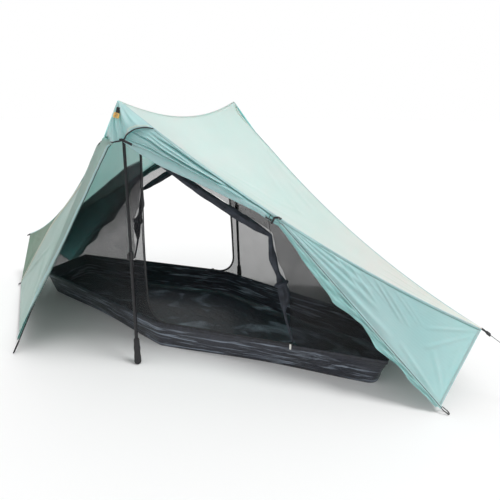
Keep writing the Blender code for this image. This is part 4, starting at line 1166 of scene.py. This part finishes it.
def slotted(name, end, size, frame, rounding, holes, finish, body, nodes=()):
    """A moulded slab with rounded corners and slots, in the frame's X and Z, its depth along Y."""
    width, depth, height = size
    shape = bmesh.new()

    def rounded(half_x, half_z, radius, middle, count):
        ring = []
        for quarter in range(4):
            cx = (half_x - radius) * (1 if quarter in (0, 3) else -1)
            cz = (half_z - radius) * (1 if quarter in (0, 1) else -1)
            for step in range(count):
                angle = math.pi / 2 * quarter + math.pi / 2 * step / (count - 1)
                ring.append((middle[0] + cx + radius * math.cos(angle),
                             middle[1] + cz + radius * math.sin(angle)))
        return ring

    rings = [rounded(width / 2, height / 2, rounding, (0.0, 0.0), 6)]
    rings += [rounded(hole[2] / 2, hole[3] / 2, min(hole[2], hole[3]) * 0.35, hole[:2], 5) for hole in holes]
    edges = []
    for ring in rings:
        made = [shape.verts.new((x, -depth / 2, z)) for x, z in ring]
        edges += [shape.edges.new((made[index], made[(index + 1) % len(made)])) for index in range(len(made))]
    filled = bmesh.ops.triangle_fill(shape, edges=edges, use_beauty=True)["geom"]
    faces = [item for item in filled if isinstance(item, bmesh.types.BMFace)]
    for item in bmesh.ops.extrude_face_region(shape, geom=faces)["geom"]:
        if isinstance(item, bmesh.types.BMVert):
            item.co.y = depth / 2
    bmesh.ops.recalc_face_normals(shape, faces=shape.faces)
    for vertex in shape.verts:
        vertex.co = frame @ vertex.co
        if end == "rear":
            vertex.co = turned(vertex.co)
    data = bpy.data.meshes.new(name)
    shape.to_mesh(data)
    shape.free()
    data.materials.append(finish)
    thing = bpy.data.objects.new(name, data)
    collection.objects.link(thing)
    edge = thing.modifiers.new("edges", "BEVEL")
    edge.width = 0.0006
    edge.segments = 2
    edge.limit_method = "ANGLE"
    carry(thing, body, nodes)


def webbing_path(name, end, route, width, aside, thickness, nodes=()):
    """A flat tape whose width lies along aside, swept along a route."""
    points = []
    for index, place in enumerate(route):
        ahead = (route[min(index + 1, len(route) - 1)] - route[max(index - 1, 0)]).normalized()
        flat = (aside - ahead * aside.dot(ahead)).normalized()
        out = ahead.cross(flat).normalized()
        for step in range(12):
            angle = 2 * math.pi * step / 12
            across = math.copysign(abs(math.cos(angle)) ** 0.4, math.cos(angle))
            deep = math.copysign(abs(math.sin(angle)) ** 0.4, math.sin(angle))
            points.append(place + flat * width / 2 * across + out * thickness / 2 * deep)
    thing = mesh_object(name, end, points, ring_faces(len(route), 12), webbing)
    carry(thing, "canopy", nodes)

# Fittings' frame on the hood

hood_top, hem_level = door_hip(brow_share), 1.040
model_route = through([flap_hip(hood_flap_length / flap_hip_length),
                       crease_line(hood_flap_length / crease_length) + front_out * 0.0033,
                       zip_edge(hood_drop / zip_length), Vector((0.0, peak.y - 0.026, hem_level)),
                       Vector((hood_top.x * 0.45, (peak.y - 0.026 + hood_top.y) / 2,
                               (hem_level + hood_top.z) / 2 + (hood_top.z - hem_level) * 0.22)),
                       hood_top], 41)


def hood_frame(share):
    """The peak fitting's own frame, on the model's hood."""
    def spot(across, down):
        bow = math.sin(math.pi * across) * math.sin(math.pi * 0.6 * down)
        return peak.lerp(on_route(model_route, across), down) + hood_out * (0.0033 + 0.012 * bow)

    down = (spot(0.5, share + 0.02) - spot(0.5, share)).normalized()
    aside = (spot(0.52, share) - spot(0.5, share)).normalized()
    return spot(0.5, share) + Vector((0.018, 0.0, 0.0)), to_front(down.cross(aside).normalized()), down

# Lines over a cloth

def normals_along(surface, across, count):
    """The outward normals of a surface along a line over it, to lay a tape on it."""
    made, step = [], 0.01
    for index in range(count):
        a, d = across(index / (count - 1))
        along = surface(min(a + step, 1.0), d) - surface(max(a - step, 0.0), d)
        down = surface(a, min(d + step, 1.0)) - surface(a, max(d - step, 0.0))
        normal = along.cross(down).normalized()
        made.append(-normal if normal.dot(surface(a, d) - inside) < 0 else normal)
    return made


def tape_on(name, end, surface, across, count, width, finish, body="canopy", lift=0.0009):
    """A tape that follows a line over a cloth surface, a little proud of it."""
    spots = [surface(*across(index / (count - 1))) for index in range(count)]
    outs = normals_along(surface, across, count)
    return tape(name, end, spots, outs, -width / 2, width / 2, finish, body, (lift, lift))


def hip_out(near, far, out, share):
    """The outward way halfway between the roof and a side panel, on the hip."""
    ahead = (near(min(share + 0.02, 1.0)) - near(max(share - 0.02, 0.0))).normalized()
    across = (turned(far(share)) - near(share)).normalized()
    return (to_top(ahead.cross(across).normalized()) + out).normalized()

# Tapes, bindings, seams and painted shade lines of the canopy

cover_aside = (flap_stake - flap_corner).normalized()


def zip_cover(across, down):
    """The storm flap over the door's zip: widest at the top, it bulges over the zip's bead."""
    first = flap_top[1] - 0.002
    beyond = 0.0515 * max(1 - (first + (flap_tip - first) * down) / 0.86, 0.0) + 0.006
    off = -0.026 + (0.026 + beyond) * across
    start = first - 0.14 * max(off, 0.0)
    share = start + (flap_tip - 0.004 - start) * down
    bulge = 0.0092 * math.exp(-((off - 0.004) / 0.011) ** 2) - 0.55 * max(off, 0.0) * ease(off / 0.02)
    ripple = wrinkle(zip_edge(share) + cover_aside * off, 30.0, 0.002, 12.0) * ease((0.03 + off) / 0.02)
    tucked = 0.013 * (1 - ease((down - 0.006) / 0.030))
    return zip_edge(share) + cover_aside * off + front_out * (0.0014 + bulge + ripple * 0.5 - tucked)


def door_binding_parts(end):
    """The tape that joins the standing panel's edge to its rolled half, with a dark line on it that paints
    the shade of the fold between them.
    """
    spots = [door_edge(share) for share in steps(toggle_share + 0.012, 0.985, 90)]
    aside = (spots[-1] - spots[0]).normalized().cross(side_out).normalized()
    line = [spot + aside * 0.0012 + side_out * 0.0040 for spot in spots]
    return [tape(f"{end}_door_edge_tape", end, spots, facing(side_out, 90), -0.0055, 0.0085, teal,
                 rises=(0.0016, 0.0046)),
            tube(f"{end}_door_edge_shade_line", end, line, 0.0014, piping_and_fold_shade, "canopy", sides=6)]


def canopy_trims(end):
    """Every tape, seam and painted shade line of one half, by the cloth that carries it."""
    right, left = side_words(end)
    flap_body = f"{end}_door_flap"
    trims = {"roof": [], "right": [], "left": [], "flap": [], "hood": []}

    def lay(part, name, spots, outs, low, high, finish, **more):
        trims[part].append(tape(f"{end}_{name}", end, spots, outs, low, high, finish, **more))

    def lay_on(part, name, surface, line, count, width, finish, *more):
        trims[part].append(tape_on(f"{end}_{name}", end, surface, line, count, width, finish, *more))

    def sew(part, name, line, sizes, finish, body="canopy", sides=6):
        trims[part].append(tube(f"{end}_{name}", end, line, sizes, finish, body, sides=sides))

    def bind(name, first, last, count, size):
        line = [brow_hem(across) - up * 0.0008 + hood_out * 0.0012 for across in steps(first, last, count)]
        sizes = [size(share) for share in steps(0.0, 1.0, count)]
        sew("hood", name, line, sizes, webbing, "canopy", 8)

    for part, name, near, far, out, last, count in (
            ("right", right, door_hip, flap_hip, side_out, end_share, 90),
            ("left", left, flap_hip, door_hip, front_out, flap_end_share, 70)):
        shares = steps(0.012, last, count)
        lay(part, f"{name}_hip_tape", [near(share) for share in shares],
            [hip_out(near, far, out, share) for share in shares], -0.005, 0.005, teal, bend=0.42)
    # A dark line just under the hip tape's edge: painted shade.
    line = []
    for share in steps(brow_share * 1.02, end_share - 0.002, 110):
        along = (share - 0.004) / (end_share - 0.004)
        near = right_panel_cloth(along, 0.0)
        drop = 0.0075 / max((right_panel_cloth(along, strip_rows) - near).length, 0.01) * strip_rows
        line.append(right_panel_cloth(along, min(drop, 0.3)) + side_out * 0.0012)
    sew("right", f"{right}_hip_seam", line, 0.0010, hip_and_fold_shade)
    # Dark lines along the strip's deep folds: painted shade in the fold valleys.
    sizes = [0.0017 * math.sin(math.pi * share) ** 0.4 + 0.0002 for share in steps(0.0, 1.0, 70)]
    for word, deep_fold, low, high in zip(("upper", "lower", "third"), deep_folds, (0.22, 0.15, 0.10),
                                          (0.93, 0.72, 0.40)):
        line = []
        for along in steps(low, high, 70):
            centre = float(np.interp(along, fold_stations, deep_fold[0]))
            share = along * toggle_share
            line.append(strip_cloth(share, centre * strip_rows) + strip_frame(share)[4] * 0.0012)
        sew("right", f"strip_{word}_fold_seam", line, sizes, hip_and_fold_shade)
    spots = [crease(share) + front_out * 0.0004 for share in steps(0.02, 1 - 0.034 / crease_length, 70)]
    # The crease tape's pale colour is a painted highlight.
    lay("left", "crease_tape", spots, facing(front_out, 70), 0.0008, 0.0145, crease_highlight, rises=(0.0014, 0.0014))
    lay("left", "crease_facing", spots[:52], facing(front_out, 52), -0.036, 0.0, shaded,
        rises=(-0.012, -0.0015))
    trims["right"] += door_binding_parts(end)
    lay_on("right", f"{right}_end_hem", right_panel_cloth,
           lambda share: (0.9955, 0.01 + share * (strip_rows - 0.02)), 24, 0.009, teal)
    lay_on("left", f"{left}_end_hem", left_panel_cloth, lambda share: (0.9955, 0.01 + share * 0.98), 24,
           0.009, shaded)
    # The zip cover takes the flap's shaded copy, a painted shade.
    trims["flap"].append(sheet(f"{end}_zip_cover", end, zip_cover, 13, 81, pale, flap_body, (),
                               thickness=0.0006))
    edge = [zip_cover(1.0, share) for share in steps(0.022, 0.995, 80)]
    sew("flap", "zip_cover_piping", edge, 0.0020, piping_and_fold_shade, flap_body, 8)
    lay_on("flap", "zip_cover_hem", zip_cover, lambda share: (0.90 - 0.10 * share, 0.022 + 0.967 * share),
           80, 0.011, teal, flap_body, 0.0007)
    bind("hood_binding", hem_corner, pinch_share, 40, lambda share: 0.0015 + 0.0017 * ease(share * 2))
    spots = [brow_hem(across) + up * 0.006 for across in steps(0.004, hem_corner + 0.02, 30)]
    lay("hood", "hood_facing", spots, facing(front_out, 30), 0.0, 0.036, hood_lit_copy, rises=(-0.0030, -0.0075))
    bind("hood_arch_binding", pinch_share, 0.995, 60, lambda share: 0.0030 - 0.0009 * share)
    # A hem tape in the roof's sunlit copy: a painted highlight line above the hood's arch.
    lay_on("hood", "hood_hem_highlight_tape", brow_cloth,
           lambda share: (pinch_share + 0.04 + (0.93 - pinch_share) * share, 0.935), 60, 0.008, sunlit_copy,
           "canopy", 0.0011)
    if end == "front":
        spots = [roof_place(across, 0.0) for across in steps(0.004, 0.996, 80)]
        trims["roof"].append(tape("ridge_tape", end, spots, facing(up, 80), -0.005, 0.005, sunlit_copy, bend=0.60,
                                  rises=(0.0006, 0.0006)))
    return trims


# Ties, tabs and fittings

def knot_route(centre, size, lean):
    """An overhand knot's curve, closed."""
    route = []
    for step in range(49):
        angle = 2 * math.pi * step / 48
        place = Vector((math.sin(angle) + 2 * math.sin(2 * angle), math.cos(angle) - 2 * math.cos(2 * angle),
                        -1.1 * math.sin(3 * angle)))
        route.append(centre + lean @ place * size)
    return route


def tie_point_parts(end):
    """Where the rolled door is tied: a sewn loop round its neck, a cord knot and a small ring."""
    above, front = strip_frame(toggle_share * 0.96)[3:]
    radius = roll_size(0.965) * 1.2 + 0.0042
    top = tie_point + front * 0.0045 + up * 0.001
    route = [top] + [roll_axis(0.965) + (above * math.cos(turn) + front * math.sin(turn)) * radius
                     for turn in steps(0.5, 5.4, 24)] + [tie_point - front * 0.004 - up * 0.012]
    webbing_path(f"{end}_door_loop", end, through(route, 60), 0.009, roll_line, 0.0014)
    lean = Matrix((roll_line, front, roll_line.cross(front))).transposed().to_3x3()
    knot = knot_route(top + front * 0.004 + roll_line * 0.004, 0.0026, lean)
    tube(f"{end}_door_knot", end, knot, 0.0020, webbing, "canopy")
    middle = top + front * 0.009 + roll_line * 0.002
    ring = [middle + (roll_line * math.cos(angle) + up * math.sin(angle)) * 0.0042
            for angle in steps(0.0, 2 * math.pi * 1.02, 33)]
    tube(f"{end}_door_ring", end, ring, 0.0009, steel, "canopy", sides=8)


def hood_closure(end):
    """The black tab and knot that gather the hood's hem at the top of the door."""
    out = Vector((0.3, -1.0, 0.1)).normalized()
    spot = hood_pinch + out * 0.004
    route = [spot + Vector(off) for off in ((-0.020, 0.002, -0.002), (-0.008, -0.002, -0.001),
                                            (0.004, -0.002, -0.003), (0.018, 0.004, -0.010),
                                            (0.034, 0.012, -0.019))]
    webbing_path(f"{end}_hood_tab", end, through(route, 30), 0.010, up, 0.0020)
    lean = Matrix((Vector((1.0, 0.0, 0.0)), out, up)).transposed().to_3x3()
    tube(f"{end}_hood_knot", end, knot_route(spot + out * 0.002, 0.0024, lean), 0.0024, webbing, "canopy")


def peak_cup(end):
    """The reinforced cup that the pole's tip stands in, turned about its upright line."""
    sides, points, back = 40, [], 0.015
    profile = ((0.0006, -0.0002), (0.0060, -0.0058), (0.0115, -0.0110), (0.0152, -0.0146), (0.0168, -0.0165),
               (0.0170, -0.0190), (0.0168, -0.0300), (0.0170, -0.0400), (0.0170, -0.0456), (0.0164, -0.0462),
               (0.0158, -0.0456), (0.0157, -0.0300), (0.0156, -0.0180), (0.0100, -0.0124), (0.0030, -0.0046))
    ridge_drop = roof_sag * 4 * (back / 0.930) * (1 - back / 0.930)
    top = Vector((0.0, peak.y + back, peak.z - ridge_drop - 0.0005))
    for radius, height in profile:
        for side in range(sides):
            angle = 2 * math.pi * side / sides
            grow = 1 + 0.012 * math.cos(9 * angle) * min(abs(height) * 25, 1.0)
            around = Vector((math.cos(angle) * radius * grow, math.sin(angle) * radius * grow, height))
            points.append(top + around)
    cup = mesh_object(f"{end}_peak_cup", end, points, ring_faces(len(profile), sides, capped=False), webbing)
    carry(cup, "canopy", [f"{end}_peak_pocket"])

def slider_sleeve(end, rest_share):
    """The pale cord sleeve on the net slider's pull."""
    along = (net_foot(slider_stop) - net_foot(door_foot_x)).normalized()
    out = to_front(along.cross(up).normalized())
    away = to_top(out.cross(along).normalized())
    x = door_foot_x + (slider_stop - door_foot_x) * rest_share
    place = net_foot(x) + up * (bead / 2 + 0.0003) + out * 0.0059 - away * 0.0115
    slotted(f"{end}_net_pull_sleeve", end, (0.0086, 0.0034, 0.0280), frame_at(along, out, away, place),
            0.0030, (), white, f"{end}_net_zip_slider")


def fittings(end):
    right, left = side_words(end)
    tie_point_parts(end)
    hood_closure(end)
    slider_sleeve(end, 0.985 if end == "front" else 0.06)
    peak_cup(end)
    spot, out, down = hood_frame(0.26)
    aside = down.cross(out).normalized()
    middle = spot + out * 0.00275
    route = [middle - down * 0.0112, middle - down * 0.006 + out * 0.0004, middle, middle + down * 0.0080,
             middle + down * 0.0118 + out * 0.0012]
    webbing_path(f"{end}_peak_webbing", end, through(route, 24), 0.015, aside, 0.0024, [f"{end}_peak_tab"])
    lock = frame_at(aside, out, -down, spot + out * 0.0054 + down * 0.0213)
    slotted(f"{end}_peak_line_fitting", end, (0.024, 0.006, 0.020), lock, 0.0042,
            ((0.0, 0.0052, 0.0140, 0.0030), (0.0, -0.0012, 0.0150, 0.0028), (0.0, -0.0062, 0.0120, 0.0024)),
            yellow, "canopy", [f"{end}_peak_line_lock"])
    first = end_tip + guy_direction * 0.00165
    across = Vector((0.0, 1.0, 0.0))
    over = guy_direction.cross(across).normalized()
    route = [first, first + guy_direction * 0.012 + over * 0.0006,
             first + guy_direction * 0.024 - over * 0.0004, first + guy_direction * 0.0335]
    webbing_path(f"{right}_end_webbing", end, through(route, 24), 0.018, across, 0.0034, [f"{right}_end_tab"])
    lock = frame_at(across, over, guy_direction, first + guy_direction * 0.031)
    slotted(f"{right}_end_line_fitting", end, (0.024, 0.006, 0.020), lock, 0.0040,
            ((0.0, -0.0050, 0.0190 * 0.8, 0.0032), (0.0, 0.0040, 0.0130, 0.0030)), plastic, "canopy")
    corners = ((right, door_edge(end_share), (door_corner - tie_point).normalized()),
               (left, crease(flap_end_share), (flap_corner - peak).normalized()))
    for word, fabric, outward in corners:
        tube(f"{end}_{word}_corner_cord", end, corner_loop_route(fabric, outward), cord_radius, webbing,
             "canopy", [f"{end}_{word}_stake_loop"])
    start = zip_edge(flap_tip) + (flap_stake - peak).normalized() * 0.00045
    tube(f"{end}_flap_cord", end, loop_route(start, flap_stake + up * cord_radius, 0.016), cord_radius,
         webbing, f"{end}_door_flap", [f"{end}_flap_loop"])


def canopy_half(end):
    right, left = side_words(end)
    trims = canopy_trims(end)
    sheet(f"{right}_roof_cloth", end, roof_cloth, 73, 109, sunlit_copy, "canopy", [f"{right}_roof_panel"])
    for part, word, surface, columns, rows, finish in (
            ("right", right, right_panel_cloth, 221, 73, teal),
            ("left", left, left_panel_cloth, 121, 37, shaded)):
        sheet(f"{end}_{word}_side_cloth", end, surface, columns, rows, finish, "canopy",
              [f"{end}_{word}_panel"])
    # The flap takes its shaded copy, a painted shade.
    sheet(f"{end}_flap_cloth", end, flap_cloth, 57, 97, pale, f"{end}_door_flap", [f"{end}_flap"])
    sheet(f"{end}_hood_cloth", end, brow_cloth, 161, 49, hood_lit_copy, "canopy", [f"{end}_brow"],
          outward=Vector((0.0, 0.0, 1.0)))
    rolled_door(end)
    tube(f"{end}_tie_loop", end, tie_route(), tie_radius, webbing, "canopy", [f"{end}_tie_cord"])


def net_zip_tape(end):
    """The woven tape that the net door's zip is sewn on, on both sides of its run."""
    outline = door_outline(-0.0003)
    outs = []
    for place in outline:
        down = (net_face(place.x, place.z - 0.01) - net_face(place.x, place.z + 0.01)).normalized()
        outs.append(down.cross(Vector((1.0, 0.0, 0.0))).normalized())
    tape(f"{end}_net_zip_tape", end, outline, outs, -0.0004, 0.0050, webbing, rises=(0.0008, 0.0008),
         slot="black_webbing", rows=5)


def nets_half(end):
    right, left = side_words(end)
    net_zip_tape(end)
    for name, place, columns, rows, finish in (
            (f"{end}_{left}", left_net_cloth, 81, 41, netting_painted_band),
            (f"{end}_{right}", right_net_cloth, 121, 33, netting),
            (f"{right}_end", end_net_cloth, 25, 17, netting)):
        sheet(f"{name}_net_cloth", end, place, columns, rows, finish, "canopy", [f"{name}_net"],
              thickness=0.0004)
    seam = [net_face(x, seam_height + seam_slope * x) for x in steps(-1.00, -0.020, 90)]
    tube(f"{end}_{left}_net_seam", end, seam, 0.0011, netting_dark, "canopy", sides=6)
    route = bundle_route(118, 80)
    sizes = [bundle_size(index / (len(route) - 1)) for index in range(len(route))]

    def gathers(share, angle):
        lower = ease((share - hang_share) / 0.05) * (1 - ease((share - 0.86) / 0.04))
        lobes = 0.08 * math.cos(4 * angle + 30 * share) + 0.05 * math.cos(7 * angle - 44 * share)
        return 0.92 + lobes + lower * (0.14 * math.cos(2 * angle - 55 * share) + 0.04 * math.cos(9 * angle))

    tube(f"{end}_gathered_net_door", end, route, sizes, netting_dark, "canopy", [f"{end}_net_bundle"],
         sides=36, ripple=gathers)
    knot, ahead = bundle_place(0.775), (bundle_place(0.80) - bundle_place(0.75)).normalized()
    lean = (ahead + Vector((0.45, -0.25, 0.0))).normalized()
    flat = lean.cross(up).normalized()
    over = flat.cross(lean)
    ring = [knot + (flat * math.cos(angle) + over * math.sin(angle)) * (0.0245 + 0.002 * math.cos(2 * angle))
            + ahead * 0.006 * math.sin(angle) for angle in steps(0.0, 2 * math.pi, 61)]
    tube(f"{end}_net_door_knot", end, ring, 0.0092, netting_dark, "canopy", sides=16,
         ripple=lambda share, angle: 0.95 + 0.10 * math.cos(3 * angle + 25 * share))
    proud = bead / 2 + 0.0003
    route = door_outline(proud)
    route += [net_foot(x) + up * proud for x in steps(route[-1].x, slider_stop, 60)[1:]]
    tube(f"{end}_net_zip_coil", end, route, bead / 2, plastic, "canopy", [f"{end}_net_zip"])


def rim_binding():
    """The folded binding sewn over the floor walls' rim."""
    profile = ((0.0020, -0.0165), (0.0024, -0.0080), (0.0020, 0.0000), (0.0, 0.0012), (-0.0020, 0.0),
               (-0.0022, -0.0080), (-0.0018, -0.0160))
    outline = floor_outline(1.0)
    points, faces = [], []
    for index, place in enumerate(outline):
        ahead = (outline[(index + 1) % len(outline)] - outline[index - 1]).normalized()
        out = ahead.cross(up).normalized()
        for off, height in profile:
            puckered = 0.0005 * math.sin(index * 1.7) if abs(off) > 0.0019 else 0.0
            points.append(place + out * (off + puckered) + Vector((0.0, 0.0, height)))
        after = (index + 1) % len(outline)
        for step in range(6):
            faces.append((index * 7 + step, after * 7 + step, after * 7 + step + 1, index * 7 + step + 1))
    thing = mesh_object("floor_rim_binding", "front", points, faces, binding)
    thicken(thing, 0.0005, -1.0)
    return carry(thing, "canopy")


for end in ("front", "rear"):
    canopy_half(end)
    nets_half(end)
    fittings(end)
bathtub(rim_binding())

shown = {"pole_grip": foam, "handle_shaft": shaft, "tip_shaft": shaft}
for word in ("lock_clamp", "lock_lever", "toggle", "flap_zip", "flap_slider", "net_slider"):
    shown[word] = plastic
for end in ("front", "rear"):
    for word, finish in shown.items():
        for holder in frame["nodes"][f"{end}_{word}"].material_slots:
            holder.material = finish

guy = guyline_points()
guyline = tube("right_guyline_cord", "front", guy, guy_radius, webbing, "canopy", ["right_guyline"])

# Floor, light and background

floor_data = bpy.data.meshes.new("floor")
floor_data.from_pydata([(-30, -30, 0), (30, -30, 0), (30, 30, 0), (-30, 30, 0)], [], [(0, 1, 2, 3)])
stage_floor = bpy.data.objects.new("floor", floor_data)
bpy.context.scene.collection.objects.link(stage_floor)
floor_finish, _, floor_shader = nodes_of("pale_floor")
put(floor_shader, {"Base Color": (0.96, 0.96, 0.96, 1.0), "Roughness": 0.95, "Specular IOR Level": 0.1})
floor_data.materials.append(floor_finish)

world = bpy.data.worlds.new("pale")
bpy.context.scene.world = world
world.use_nodes = True
ray = new(world.node_tree, "LightPath").outputs["Is Camera Ray"]
strength = new(world.node_tree, "MapRange", {"To Min": 0.66, "To Max": 1.0, "Value": ray}).outputs["Result"]
put(world.node_tree.nodes["Background"], {"Color": (1.0, 1.0, 1.0, 1.0), "Strength": strength})

sun_data = bpy.data.lights.new("sun", "SUN")
sun_data.energy = 1.55
sun_data.angle = math.radians(18)
sun = bpy.data.objects.new("sun", sun_data)
bpy.context.scene.collection.objects.link(sun)
sun.rotation_euler = Vector((-0.45, -0.10, -0.90)).to_track_quat("-Z", "Y").to_euler()

bpy.context.scene.view_settings.view_transform = "Standard"
